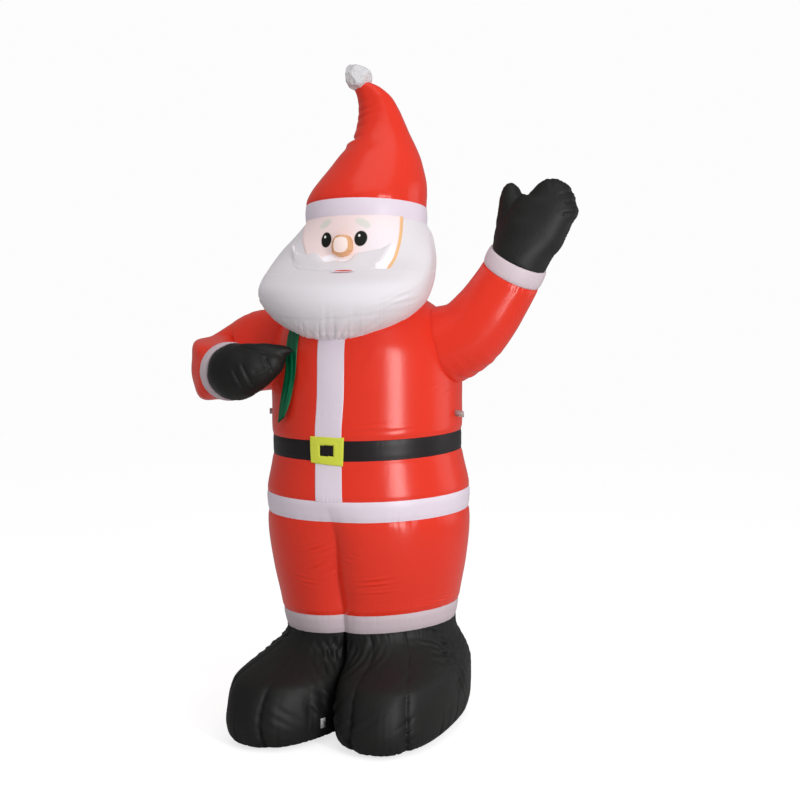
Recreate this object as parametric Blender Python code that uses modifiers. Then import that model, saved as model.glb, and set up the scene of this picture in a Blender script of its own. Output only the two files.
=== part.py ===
"""An inflatable Santa figure, eight feet tall, that stands on its two boots and waves.

Metres, +Z up. The figure faces -Y, so its own left hand, the raised one, is at +X. The origin is on the
floor, under the middle of the figure's bounding box.

The air-filled chambers (jacket, sleeves, mittens, trousers, boots, head, hat) are solids. The trims that are
sewn around them (belt, hem, cuffs, hat band, placket, buckle, moustache, strap) are sheets of cloth.
"""

import math

import bmesh
import bpy
import numpy as np
from mathutils import Vector

# Driving sizes, in metres.
FIGURE_HEIGHT = 2.44
SEAM_GAP = 0.0004
PATCH_STANDOFF = 0.0013
PATCH_END_GAP = 0.002
LEAST_LEVEL = 0.001
CUFF_STANDOFF = 0.001
TRIM_THICKNESS = 0.004
BELT_WIDTH = 0.072
HEM_WIDTH = 0.074
TROUSER_CUFF_WIDTH = 0.066
SLEEVE_CUFF_WIDTH = 0.060
HAT_BAND_WIDTH = 0.060
PLACKET_WIDTH = 0.108
BUCKLE_WIDTH = 0.124
BUCKLE_HEIGHT = 0.102
BUCKLE_THICKNESS = 0.005
BUCKLE_HOLE_WIDTH = 0.050
BUCKLE_HOLE_HEIGHT = 0.038
FACE_TOP_WIDTH = 0.392
FACE_BOTTOM_WIDTH = 0.330
FACE_HEIGHT = 0.192
FACE_DEPTH = 0.120
NOSE_BASE_RADIUS = 0.040
NOSE_TIP_RADIUS = 0.028
NOSE_LENGTH = 0.040
NOSE_ROOT = 0.02
MOUSTACHE_THICKNESS = 0.007
STRAP_WIDTH = 0.050
STRAP_END_WIDTH = 0.030
STRAP_THICKNESS = 0.003
STRAP_STANDOFF = 0.016
TETHER_LENGTH = 0.034
TETHER_WIDTH = 0.022
TETHER_THICKNESS = 0.003
TETHER_INSET = 0.0
FRONT_TETHER_STANDOFF = 0.003

# Proportions of the figure, in thousandths of its height.
PART = FIGURE_HEIGHT / 1000

# Seams of the body column, as heights.
BOOT_TOP = 148.5
CROTCH = 317.5
BELT_LINE = 419.5
PLACKET_TOP = 612.0
NECK = 659.0
HEAD_TOP = 760.5
FACE_TUCK = 20.0
FACE_TOP = HEAD_TOP + FACE_TUCK

# Height, radius and middle (along Y) of the body column, a tube of round section.
BODY_PROFILE = (
    (148.5, 132.0, 21.0),
    (190.0, 138.0, 18.5),
    (240.0, 148.5, 15.0),
    (300.0, 156.0, 10.5),
    (345.0, 157.0, 8.0),
    (380.0, 153.0, 6.0),
    (405.0, 144.5, 4.0),
    (434.0, 144.5, 3.5),
    (478.0, 147.8, 3.0),
    (530.0, 147.8, 2.0),
    (570.0, 143.5, 1.0),
    (600.0, 133.0, 0.0),
    (620.0, 121.0, 0.0),
    (633.0, 109.0, 0.0),
    (646.0, 90.0, 0.0),
    (NECK, 66.0, 0.0),
)
# Height and depth of the crease between the legs, as a share of the radius.
CREASE_PROFILE = ((148.5, 0.19), (200.0, 0.19), (260.0, 0.17), (300.0, 0.12), (325.0, 0.05), (345.0, 0.0))
CREASE_SPREAD = math.radians(12)
BACK_CREASE_SHARE = 0.6

# Head and beard: height, then the level section's middle (along Y), half width, reach forward and reach back.
HEAD_PROFILE = (
    (577.5, -122.0, 10.0, 10.0, 10.0),
    (581.0, -120.0, 32.0, 32.0, 30.0),
    (590.5, -115.0, 60.0, 56.0, 55.0),
    (605.0, -105.0, 90.0, 81.0, 80.0),
    (620.0, -99.0, 110.0, 94.0, 96.0),
    (635.0, -93.0, 124.0, 100.0, 112.0),
    (656.0, -87.0, 133.0, 93.0, 124.0),
    (675.0, -77.0, 135.0, 68.0, 124.0),
    (694.0, -62.0, 132.0, 47.0, 119.0),
    (723.5, -35.0, 120.0, 60.5, 105.0),
    (745.0, -10.0, 106.0, 83.5, 94.0),
    (HEAD_TOP, 0.0, 93.0, 93.0, 93.0),
)

# The hat's level sections: middle (x, y), height and radius.
HAT_PATH = (
    (0.0, 0.0, 760.9, 92.5),
    (0.0, 0.0, 774.0, 92.5),
    (0.0, 0.0, 787.0, 92.0),
    (3.6, 1.5, 806.5, 89.5),
    (9.3, 3.8, 825.0, 82.5),
    (14.4, 5.8, 843.7, 73.0),
    (18.6, 7.5, 862.3, 63.5),
    (22.2, 9.0, 880.9, 52.0),
    (23.0, 8.0, 899.5, 42.5),
    (22.5, 4.0, 918.0, 36.0),
    (20.8, -2.0, 936.6, 30.5),
    (15.5, -11.0, 955.2, 25.0),
    (4.0, -24.0, 971.0, 17.5),
)
# Sleeves along a path: x, y, z and the radius.
LEFT_SLEEVE_PATH = (
    (81.0, 0.0, 566.0, 62.0),
    (121.0, 0.0, 572.0, 60.0),
    (159.5, 0.0, 587.5, 56.0),
    (189.0, 0.0, 616.5, 51.0),
    (209.5, 0.0, 644.5, 47.0),
    (228.0, 0.0, 674.0, 44.5),
    (240.5, 0.0, 700.0, 44.0),
)
RIGHT_SLEEVE_PATH = (
    (-81.0, 0.0, 565.0, 63.0),
    (-126.0, 0.0, 572.0, 63.5),
    (-173.0, 0.0, 568.5, 64.5),
    (-210.0, -4.0, 557.0, 58.5),
    (-228.0, -28.0, 546.5, 50.0),
    (-222.0, -61.0, 539.5, 46.0),
    (-199.0, -90.0, 535.5, 43.5),
    (-171.0, -114.0, 534.5, 42.5),
)

# Lobes of the mittens: x, y, z, then the half width and the half thickness of the flattened section.
LEFT_PALM = (
    (241.4, 0.0, 701.8, 44.5, 44.0),
    (244.2, 0.0, 707.3, 45.5, 43.0),
    (253.6, 0.0, 729.8, 48.5, 39.0),
    (266.0, 0.0, 748.0, 48.5, 36.0),
    (279.0, 0.0, 765.0, 43.5, 33.0),
    (287.5, 0.0, 780.0, 38.0, 30.0),
    (289.5, 0.0, 795.5, 31.0, 24.0),
    (289.5, 0.0, 807.5, 20.0, 15.0),
    (289.5, 0.0, 813.0, 8.0, 6.0),
)
LEFT_THUMB = (
    (228.5, 0.0, 729.8, 23.0, 24.0),
    (229.1, 0.0, 755.9, 22.0, 22.0),
    (228.7, 0.0, 777.4, 19.5, 19.0),
    (229.0, 0.0, 796.0, 15.5, 15.0),
    (228.4, 0.0, 806.9, 10.0, 10.0),
    (228.4, 0.0, 812.3, 4.0, 4.0),
)
RIGHT_PALM = (
    (-169.7, -115.1, 534.5, 42.0, 42.0),
    (-164.5, -119.4, 534.3, 42.0, 42.3),
    (-154.0, -135.0, 534.0, 42.0, 43.0),
    (-138.0, -152.0, 535.0, 41.0, 41.0),
    (-112.0, -155.0, 541.0, 34.0, 34.0),
    (-90.0, -151.0, 549.0, 24.0, 25.0),
    (-74.0, -146.0, 557.0, 12.0, 13.0),
    (-69.0, -144.5, 560.0, 5.0, 5.0),
)
RIGHT_THUMB = (
    (-140.0, -160.0, 557.0, 17.0, 17.0),
    (-112.0, -163.0, 562.0, 14.0, 16.0),
    (-84.0, -153.0, 564.0, 11.0, 13.0),
    (-66.0, -144.5, 564.5, 7.0, 9.0),
    (-59.0, -141.5, 564.5, 3.0, 4.0),
)

# Left boot: height, the level section's middle (x, y), half width and half length. The right one mirrors it.
BOOT_PROFILE = (
    (0.0, 75.0, -33.0, 57.0, 138.0),
    (4.0, 75.0, -33.0, 67.0, 151.0),
    (12.0, 75.0, -33.0, 77.0, 160.0),
    (26.0, 75.0, -32.0, 82.0, 166.0),
    (50.0, 75.0, -29.0, 83.5, 166.0),
    (74.0, 75.0, -25.0, 84.0, 159.0),
    (96.0, 75.0, -17.0, 83.0, 148.0),
    (118.0, 75.0, -5.0, 80.0, 136.0),
    (BOOT_TOP, 65.0, 4.0, 62.0, 130.0),
)
# How far each boot steps forward and inwards, and how far its toes point outwards.
BOOT_STANCE = {
    "boot_left": (0.0, 0.0, math.radians(0)),
    "boot_right": (26.0, 9.0, math.radians(12)),
}
BOOT_SQUARENESS = 2.4
BOOT_BLEND_FROM = 84.0

HAT_PINCH_HEIGHT = 890.0
HAT_PINCH_SPREAD = 9.0
HAT_PINCH_DEPTH = 0.12
HAT_PINCH_TURN = math.radians(20)

POMPOM_CENTRE = (-2.0, -31.0, 979.2)
POMPOM_RADIUS = 20.8

# Half of the moustache's outline, x and z, from the middle's top round the tip and back under.
MOUSTACHE_HALF = (
    (0.0, 699.0),
    (20.0, 706.0),
    (44.0, 705.0),
    (64.0, 710.0),
    (80.0, 724.0),
    (72.0, 699.0),
    (52.0, 683.0),
    (24.0, 677.0),
    (0.0, 682.0),
)
NOSE_HEIGHT = 712.0

# Where the strap runs on the jacket: height and the angle round the body, from the front towards +X.
STRAP_ROUTE = ((606.0, -29.0), (589.0, -28.0), (565.0, -26.5), (530.0, -26.0), (490.0, -29.5), (457.0, -32.5))
TETHER_HEIGHT = 473.0
TETHER_ANGLE = math.radians(84)
FRONT_TETHER_HEIGHT = 31.0
FRONT_TETHER_TURN = 0.929

COLOURS = {
    "red_cloth": (0.78, 0.045, 0.028),
    "white_cloth": (0.80, 0.76, 0.80),
    "black_cloth": (0.018, 0.019, 0.018),
    "face_cloth": (0.92, 0.68, 0.62),
    "nose_cloth": (0.90, 0.58, 0.42),
    "green_satin": (0.0, 0.16, 0.055),
    "buckle_cloth": (0.62, 0.64, 0.06),
    "webbing": (0.62, 0.50, 0.50),
}

BODY_SIDES = 34
TUBE_SIDES = 20
HAT_SIDES = 26
HAT_RINGS = 17
SLEEVE_RINGS = 12
BOOT_SIDES = 28


def clear_scene():
    for old in list(bpy.data.objects):
        bpy.data.objects.remove(old)


def make_collection(name):
    collection = bpy.data.collections.new(name)
    bpy.context.scene.collection.children.link(collection)
    return collection


def cloth(name):
    """The cloth of that colour, made once."""
    found = bpy.data.materials.get(name)
    if found:
        return found
    material = bpy.data.materials.new(name)
    material.use_nodes = True
    shader = material.node_tree.nodes["Principled BSDF"]
    shader.inputs["Base Color"].default_value = (*COLOURS[name], 1)
    shader.inputs["Roughness"].default_value = 0.45
    shader.inputs["Metallic"].default_value = 0.0
    return material


def through(table, key):
    """The row of values at that key, on a smooth curve through the table's rows (key, value, value, ...)."""
    rows = np.array(table, float)
    keys, values = rows[:, 0], rows[:, 1:]
    slopes = np.gradient(values, keys, axis=0)
    i = int(np.clip(np.searchsorted(keys, key) - 1, 0, len(keys) - 2))
    span = keys[i + 1] - keys[i]
    t = min(max((key - keys[i]) / span, 0.0), 1.0)
    ahead = t * t * (3 - 2 * t)
    return (
        values[i] * (1 - ahead)
        + values[i + 1] * ahead
        + slopes[i] * span * t * (1 - t) ** 2
        - slopes[i + 1] * span * t * t * (1 - t)
    )


def along(path, rings, start=0.0):
    """Rows evenly spaced along a smooth curve through the path's rows, each with the curve's direction."""
    rows = np.array(path, float)
    steps = np.linalg.norm(np.diff(rows[:, :3], axis=0), axis=1)
    keys = np.concatenate([[0], np.cumsum(steps)])
    table = np.column_stack([keys, rows])
    end = keys[-1]
    made = []
    for key in np.linspace(start * end, end, rings):
        ahead = through(table, min(key + 0.01, end)) - through(table, max(key - 0.01, 0.0))
        made.append((through(table, key), Vector(ahead[:3]).normalized()))
    return made


def around(sides):
    """Angles round a section, from the front (-Y) towards +X."""
    return [2 * math.pi * k / sides for k in range(sides)]


def body_radius(height, angle):
    """The body column's radius in metres at a height in thousandths, with the crease between its legs."""
    radius = through(BODY_PROFILE, height)[0]
    if height < CREASE_PROFILE[-1][0]:
        depth = through(CREASE_PROFILE, height)[0]
        turn = abs((angle + math.pi) % (2 * math.pi) - math.pi)
        front = math.exp(-turn / CREASE_SPREAD)
        back = BACK_CREASE_SHARE * math.exp(-(math.pi - turn) / CREASE_SPREAD)
        radius *= 1 - depth * (front + back)
    return radius * PART


def body_point(z, angle, grow=0.0):
    """A point of the body column, z in metres, moved outwards by grow."""
    radius = body_radius(z / PART, angle) + grow
    middle = through(BODY_PROFILE, z / PART)[1] * PART
    return Vector((radius * math.sin(angle), middle - radius * math.cos(angle), z))


def body_ring(z, grow=0.0, sides=BODY_SIDES):
    return [body_point(z, angle, grow) for angle in around(sides)]


def head_ring(z, grow=0.0, sides=BODY_SIDES):
    """A level ring of the head and beard, egg-shaped, at z in metres."""
    middle, width, front, back = through(HEAD_PROFILE, z / PART) * PART
    ring = []
    for angle in around(sides):
        reach = front if math.cos(angle) > 0 else back
        x = (width + grow) * math.sin(angle)
        y = middle - (reach + grow) * math.cos(angle)
        ring.append(Vector((x, y, z)))
    return ring


def belt_span():
    middle = BELT_LINE * PART
    return middle - BELT_WIDTH / 2, middle + BELT_WIDTH / 2


def hem_span():
    low = CROTCH * PART + SEAM_GAP / 2
    return low, low + HEM_WIDTH


def trouser_cuff_span():
    low = BOOT_TOP * PART + PATCH_END_GAP
    return low, low + TROUSER_CUFF_WIDTH


def body_levels(low, high):
    """Levels from low to high, in metres, that all the pieces on the body column share."""
    seams = [*belt_span(), *hem_span(), *trouser_cuff_span(), PLACKET_TOP * PART]
    stops = sorted([row[0] * PART for row in BODY_PROFILE] + seams)
    inner = [z for z in stops if low + LEAST_LEVEL < z < high - LEAST_LEVEL]
    return [low, *inner, high]


def heights(profile_heights, low, high, most):
    """Levels from low to high that pass the profile's own heights, no further apart than most. Metres."""
    stops = [low] + [h * PART for h in profile_heights if low < h * PART < high] + [high]
    levels = []
    for start, end in zip(stops, stops[1:]):
        count = max(1, math.ceil((end - start) / most))
        levels += [start + (end - start) * k / count for k in range(count)]
    return levels + [high]


def add_object(name, mesh, material, collection):
    obj = bpy.data.objects.new(name, mesh)
    mesh.materials.append(cloth(material))
    collection.objects.link(obj)
    return obj


def smooth_shade(mesh):
    mesh.shade_smooth()
    mesh.set_sharp_from_angle(angle=math.radians(50))


def loft(name, rings, material, collection):
    """A closed solid through rings of equal count, with both ends filled by a fan."""
    work = bmesh.new()
    rows = [[work.verts.new(point) for point in ring] for ring in rings]
    count = len(rings[0])
    for low, high in zip(rows, rows[1:]):
        for k in range(count):
            n = (k + 1) % count
            work.faces.new((low[k], low[n], high[n]))
            work.faces.new((low[k], high[n], high[k]))
    for row in (rows[0], rows[-1]):
        centre = work.verts.new(sum((v.co for v in row), Vector()) / count)
        for k in range(count):
            work.faces.new((row[k], row[(k + 1) % count], centre))
    bmesh.ops.recalc_face_normals(work, faces=work.faces)
    mesh = bpy.data.meshes.new(name)
    work.to_mesh(mesh)
    work.free()
    smooth_shade(mesh)
    return add_object(name, mesh, material, collection)


def sheet(name, rows, material, collection, thickness, closed):
    """A sheet of cloth through rows of points, thickened outwards. A closed one runs round as a band."""
    work = bmesh.new()
    made = [[work.verts.new(point) for point in row] for row in rows]
    count = len(rows[0])
    for low, high in zip(made, made[1:]):
        for k in range(count if closed else count - 1):
            n = (k + 1) % count
            work.faces.new((low[k], low[n], high[n], high[k]))
    mesh = bpy.data.meshes.new(name)
    work.to_mesh(mesh)
    work.free()
    smooth_shade(mesh)
    obj = add_object(name, mesh, material, collection)
    solid = obj.modifiers.new("thickness", "SOLIDIFY")
    solid.thickness = thickness
    solid.offset = 1
    return obj


def boolean(obj, other, operation):
    cut = obj.modifiers.new(operation.lower(), "BOOLEAN")
    cut.operation = operation
    cut.solver = "EXACT"
    cut.object = other


def helper(obj):
    """Marks a cutter, which isn't part of the figure."""
    obj.hide_render = True
    obj.display_type = "WIRE"
    return obj


def solid_mesh(obj, name, material, collection):
    """The evaluated object as a plain mesh object, with its loose caps welded. The old object goes."""
    graph = bpy.context.evaluated_depsgraph_get()
    mesh = bpy.data.meshes.new_from_object(obj.evaluated_get(graph))
    mesh.name = name
    work = bmesh.new()
    work.from_mesh(mesh)
    bmesh.ops.remove_doubles(work, verts=work.verts, dist=0.00001)
    bmesh.ops.recalc_face_normals(work, faces=work.faces)
    work.to_mesh(mesh)
    work.free()
    mesh.materials.clear()
    place = obj.matrix_world.copy()
    bpy.data.objects.remove(obj)
    made = add_object(name, mesh, material, collection)
    made.matrix_world = place
    return made


def tube_rings(path, side, rings, grow=0.0, sides=TUBE_SIDES, start=0.0):
    """Rings along a path whose rows end in one radius or two: the half width along side, then the other."""
    made = []
    rows = along(path, rings, start)
    for k, (row, ahead) in enumerate(rows):
        centre = Vector(row[:3]) * PART
        if grow and k in (0, rings - 1):
            centre += ahead * (grow if k else -grow)
        across = (side - ahead * side.dot(ahead)).normalized()
        other = ahead.cross(across)
        half = [value * PART + grow for value in row[3:]]
        ring = []
        for angle in around(sides):
            out = across * (half[0] * math.cos(angle)) + other * (half[-1] * math.sin(angle))
            ring.append(centre + out)
        made.append(ring)
    return made


def jacket_rings(grow=0.0):
    low = CROTCH * PART + SEAM_GAP / 2 - grow
    return [body_ring(z, grow) for z in body_levels(low, NECK * PART + grow)]


def make_body(parts):
    """Jacket and trousers, the two big chambers of the body."""
    loft("jacket", jacket_rings(), "red_cloth", parts)
    low = BOOT_TOP * PART + SEAM_GAP / 2
    high = CROTCH * PART - SEAM_GAP / 2
    loft("trousers", [body_ring(z) for z in body_levels(low, high)], "red_cloth", parts)


def make_band(name, low, high, material, parts):
    """A band of cloth round the body column."""
    rows = [body_ring(z, SEAM_GAP) for z in body_levels(low, high)]
    sheet(name, rows, material, parts, TRIM_THICKNESS, closed=True)


def make_trims(parts):
    make_band("belt", *belt_span(), "black_cloth", parts)
    make_band("jacket_hem", *hem_span(), "white_cloth", parts)
    make_band("trouser_cuffs", *trouser_cuff_span(), "white_cloth", parts)


def front_patch(low, high, width, standoff, columns):
    """Rows of points on the body's front, of that width and standing off from it."""
    rows = []
    for z in body_levels(low, high):
        half = width / 2 / body_radius(z / PART, math.pi / 2)
        rows.append([body_point(z, a, standoff) for a in np.linspace(-half, half, columns)])
    return rows


def make_placket(parts, cutters):
    """The white strip down the jacket's front, above and below the belt."""
    belt_low, belt_high = belt_span()
    top = PLACKET_TOP * PART
    low = front_patch(hem_span()[1] + PATCH_END_GAP, belt_low - PATCH_END_GAP, PLACKET_WIDTH, PATCH_STANDOFF, 5)
    high = front_patch(belt_high + PATCH_END_GAP, top, PLACKET_WIDTH, PATCH_STANDOFF, 5)
    sheet("placket_lower", low, "white_cloth", parts, TRIM_THICKNESS, closed=False)
    sheet("placket_upper", high, "white_cloth", parts, TRIM_THICKNESS, closed=False)
    room = front_patch(belt_high, top + SEAM_GAP, PLACKET_WIDTH + 2 * SEAM_GAP, 0.0, 5)
    thick = TRIM_THICKNESS + PATCH_STANDOFF + SEAM_GAP
    return helper(sheet("placket_room", room, "white_cloth", cutters, thick, closed=False))


def make_buckle(parts, cutters):
    """A flat cloth buckle on the belt, with the belt showing through its middle."""
    middle = BELT_LINE * PART
    standoff = TRIM_THICKNESS + 2 * PATCH_STANDOFF
    half = BUCKLE_HEIGHT / 2
    rows = front_patch(middle - half, middle + half, BUCKLE_WIDTH, standoff, 5)
    buckle = sheet("belt_buckle", rows, "buckle_cloth", parts, BUCKLE_THICKNESS, closed=False)
    bpy.ops.mesh.primitive_cube_add(size=1, location=(0, -body_radius(BELT_LINE, 0), middle))
    hole = bpy.context.object
    hole.name = "buckle_hole"
    hole.scale = (BUCKLE_HOLE_WIDTH, 0.2, BUCKLE_HOLE_HEIGHT)
    move_to(hole, cutters)
    boolean(buckle, helper(hole), "DIFFERENCE")


def move_to(obj, collection):
    for old in list(obj.users_collection):
        old.objects.unlink(obj)
    collection.objects.link(obj)


def make_boots(parts):
    """Two boots that lean on each other and splay at the toes. Their tops continue the trouser legs."""
    for name, side in (("boot_left", 1), ("boot_right", -1)):
        levels = heights([row[0] for row in BOOT_PROFILE], 0.0, BOOT_TOP * PART - SEAM_GAP / 2, 0.06)
        rings = [boot_ring(z, side, *BOOT_STANCE[name]) for z in levels]
        loft(name, rings, "black_cloth", parts)


def polar_reach(outline, centre, angle):
    """How far a closed outline is from a point inside it, in one direction."""
    way = np.array((math.sin(angle), -math.cos(angle)))
    a = outline - centre
    b = np.roll(a, -1, axis=0)
    edge = b - a
    cross = way[0] * edge[:, 1] - way[1] * edge[:, 0]
    cross = np.where(np.abs(cross) < 1e-12, 1e-12, cross)
    reach = (a[:, 0] * edge[:, 1] - a[:, 1] * edge[:, 0]) / cross
    place = (a[:, 0] * way[1] - a[:, 1] * way[0]) / cross
    hit = (reach > 0) & (place >= -1e-9) & (place <= 1 + 1e-9)
    return float(reach[hit].min())


def leg_outline():
    """Half of the leg's section at the boot's top, closed along the middle plane."""
    angles = np.linspace(0, math.pi, 61)
    points = [body_point(BOOT_TOP * PART, a) for a in angles]
    return np.array([(p.x, p.y) for p in points])


def boot_ring(z, side, step, inward, splay, sides=BOOT_SIDES):
    cx, cy, width, length = through(BOOT_PROFILE, z / PART) * PART
    blend = min(max((z / PART - BOOT_BLEND_FROM) / (BOOT_TOP - BOOT_BLEND_FROM), 0.0), 1.0)
    blend = blend * blend * (3 - 2 * blend)
    cx -= inward * PART * (1 - blend)
    cy -= step * PART * (1 - blend)
    outline = leg_outline()
    ring = []
    for angle in around(sides):
        turned = angle - splay
        sine, cosine = abs(math.sin(turned)), abs(math.cos(turned))
        n = BOOT_SQUARENESS
        foot = ((sine / width) ** n + (cosine / length) ** n) ** (-1 / n)
        leg = polar_reach(outline, np.array((cx, cy)), angle)
        reach = foot * (1 - blend) + leg * blend
        x = max(cx + reach * math.sin(angle), SEAM_GAP)
        ring.append(Vector((side * x, cy - reach * math.cos(angle), z)))
    return ring


def sleeve(name, path, side, cut_by, parts, cutters):
    """One sleeve, cut where it meets the jacket, and the same shape a little larger as a cutter."""
    obj = loft(name, tube_rings(path, side, SLEEVE_RINGS), "red_cloth", parts)
    boolean(obj, cut_by, "DIFFERENCE")
    grown = tube_rings(path, side, SLEEVE_RINGS, SEAM_GAP)
    return helper(loft(name + "_room", grown, "red_cloth", cutters))


def sleeve_cuff(name, path, side, parts):
    """A band round the sleeve's last stretch."""
    rows = np.array(path, float) * PART
    length = np.linalg.norm(np.diff(rows[:, :3], axis=0), axis=1).sum()
    rings = tube_rings(path, side, 3, CUFF_STANDOFF, start=1 - SLEEVE_CUFF_WIDTH / length)
    sheet(name, rings, "white_cloth", parts, TRIM_THICKNESS, closed=True)


def make_arms(jacket_room, parts, cutters):
    up = Vector((0, 0, 1))
    front = Vector((0, -1, 0))
    rooms = [
        sleeve("sleeve_left", LEFT_SLEEVE_PATH, front, jacket_room, parts, cutters),
        sleeve("sleeve_right", RIGHT_SLEEVE_PATH, up, jacket_room, parts, cutters),
    ]
    sleeve_cuff("sleeve_cuff_left", LEFT_SLEEVE_PATH, front, parts)
    sleeve_cuff("sleeve_cuff_right", RIGHT_SLEEVE_PATH, up, parts)
    mitten("mitten_left", LEFT_PALM, LEFT_THUMB, Vector((1, 0, -0.4)), parts, cutters)
    mitten("mitten_right", RIGHT_PALM, RIGHT_THUMB, up, parts, cutters)
    return rooms


def mitten(name, palm, thumb, side, parts, cutters):
    obj = loft(name, tube_rings(palm, side, 9, sides=18), "black_cloth", parts)
    lobe = helper(loft(name + "_thumb", tube_rings(thumb, side, 7, sides=12), "black_cloth", cutters))
    boolean(obj, lobe, "UNION")
    return obj


def head_rings(grow=0.0):
    low = HEAD_PROFILE[0][0] * PART - grow
    high = HEAD_TOP * PART + grow
    levels = heights([row[0] for row in HEAD_PROFILE], low, high, 0.08)
    return [head_ring(z, grow) for z in levels]


def face_block(name, grow, collection):
    """A block over the face, narrower at the bottom, as a cutter."""
    back = FACE_DEPTH + grow - through(HEAD_PROFILE, HEAD_TOP)[2] * PART
    bottom = HEAD_TOP * PART - FACE_HEIGHT - grow
    rings = []
    for z, width in ((bottom, FACE_BOTTOM_WIDTH), (FACE_TOP * PART, FACE_TOP_WIDTH)):
        half = width / 2 + grow
        rings.append([Vector((x, y, z)) for x, y in ((-half, -1), (half, -1), (half, back), (-half, back))])
    return helper(loft(name, rings, "face_cloth", collection))


def make_head(rooms, parts, cutters):
    """The beard, with the hair round to the back, and the face panel let into its front."""
    beard = loft("beard", head_rings(), "white_cloth", parts)
    boolean(beard, face_block("face_recess", SEAM_GAP, cutters), "DIFFERENCE")
    for room in rooms:
        boolean(beard, room, "DIFFERENCE")
    face = loft("face", head_rings(), "face_cloth", parts)
    boolean(face, face_block("face_block", 0.0, cutters), "INTERSECT")
    make_nose(parts, cutters)
    make_moustache(parts, cutters)


def nose_cone(name, grow, collection):
    """A tapering cylinder that starts inside the face and ends in front of it."""
    middle, _, front, _ = through(HEAD_PROFILE, NOSE_HEIGHT) * PART
    depth = NOSE_LENGTH + NOSE_ROOT
    bpy.ops.mesh.primitive_cone_add(
        vertices=20, radius1=NOSE_BASE_RADIUS + grow, radius2=NOSE_TIP_RADIUS + grow, depth=depth,
        location=(0, middle - front - NOSE_LENGTH + depth / 2, NOSE_HEIGHT * PART),
        rotation=(math.pi / 2, 0, 0))
    cone = bpy.context.object
    cone.name = name
    move_to(cone, collection)
    return cone


def make_nose(parts, cutters):
    """A stub of cloth sewn on the face."""
    nose = nose_cone("nose", 0.0, parts)
    nose.data.materials.append(cloth("nose_cloth"))
    bevel = nose.modifiers.new("round", "BEVEL")
    bevel.width = NOSE_TIP_RADIUS * 0.25
    bevel.segments = 2
    bevel.limit_method = "ANGLE"
    skin = helper(loft("nose_seat", head_rings(SEAM_GAP), "face_cloth", cutters))
    boolean(nose, skin, "DIFFERENCE")


def make_moustache(parts, cutters):
    """A thin puffed shape that follows the face."""
    half = [Vector((x, z, 0)) * PART for x, z in MOUSTACHE_HALF]
    whole = half + [Vector((-p.x, p.y, 0)) for p in reversed(half[1:-1])]
    curve = bpy.data.curves.new("moustache_outline", "CURVE")
    curve.dimensions = "2D"
    curve.fill_mode = "BOTH"
    curve.extrude = 0.1
    curve.resolution_u = 2
    spline = curve.splines.new("NURBS")
    spline.points.add(len(whole) - 1)
    for point, place in zip(spline.points, whole):
        point.co = (*place, 1)
    spline.use_cyclic_u = True
    spline.order_u = 3
    drawn = bpy.data.objects.new("moustache_outline", curve)
    drawn.rotation_euler = (math.pi / 2, 0, 0)
    drawn.location = (0, -0.22, 0)
    parts.objects.link(drawn)
    bpy.context.view_layer.update()
    moustache = solid_mesh(drawn, "moustache", "white_cloth", parts)
    outer = helper(loft("moustache_skin", head_rings(MOUSTACHE_THICKNESS + SEAM_GAP), "white_cloth", cutters))
    inner = helper(loft("moustache_seat", head_rings(SEAM_GAP), "white_cloth", cutters))
    boolean(moustache, outer, "INTERSECT")
    boolean(moustache, inner, "DIFFERENCE")
    boolean(moustache, helper(nose_cone("nose_room", SEAM_GAP, cutters)), "DIFFERENCE")


def hat_rings(grow=0.0):
    """The hat's level rings, pinched on the inner side of the bend."""
    made = []
    rows = along(HAT_PATH, HAT_RINGS)
    for k, (row, _) in enumerate(rows):
        x, y, z, radius = row * PART
        if grow and k in (0, HAT_RINGS - 1):
            z += grow if k else -grow
        nearness = math.exp(-(((row[2] - HAT_PINCH_HEIGHT) / HAT_PINCH_SPREAD) ** 2))
        ring = []
        for angle in around(HAT_SIDES):
            facing = max(0.0, -math.sin(angle - HAT_PINCH_TURN)) ** 4
            reach = (radius + grow) * (1 - HAT_PINCH_DEPTH * nearness * facing)
            ring.append(Vector((x + reach * math.sin(angle), y - reach * math.cos(angle), z)))
        made.append(ring)
    return made


def make_hat(parts, cutters):
    loft("hat", hat_rings(), "red_cloth", parts)
    low = HEAD_TOP * PART + SEAM_GAP
    radius = HAT_PATH[0][3] * PART + CUFF_STANDOFF
    rows = []
    for z in (low, low + HAT_BAND_WIDTH):
        rows.append([Vector((radius * math.sin(a), -radius * math.cos(a), z)) for a in around(BODY_SIDES)])
    sheet("hat_band", rows, "white_cloth", parts, TRIM_THICKNESS, closed=True)
    bpy.ops.mesh.primitive_ico_sphere_add(
        subdivisions=2, radius=POMPOM_RADIUS * PART, location=Vector(POMPOM_CENTRE) * PART)
    pompom = bpy.context.object
    pompom.name = "pompom"
    pompom.data.materials.append(cloth("white_cloth"))
    move_to(pompom, parts)
    room = helper(loft("hat_room", hat_rings(SEAM_GAP), "red_cloth", cutters))
    boolean(pompom, room, "DIFFERENCE")


def strap_rows(extra_width, standoff):
    rows = []
    low, high = STRAP_ROUTE[-1][0], STRAP_ROUTE[0][0]
    table = sorted(STRAP_ROUTE)
    for height in np.linspace(high, low, 13):
        angle = math.radians(through(table, height)[0])
        share = (high - height) / (high - low)
        narrow = max(0.0, (share - 0.55) / 0.45)
        width = STRAP_WIDTH + (STRAP_END_WIDTH - STRAP_WIDTH) * narrow + extra_width
        off = standoff + STRAP_STANDOFF * share ** 1.5
        half = width / 2 / body_radius(height, math.pi / 2)
        rows.append([body_point(height * PART, angle + a, off) for a in np.linspace(half, -half, 4)])
    return rows


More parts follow.
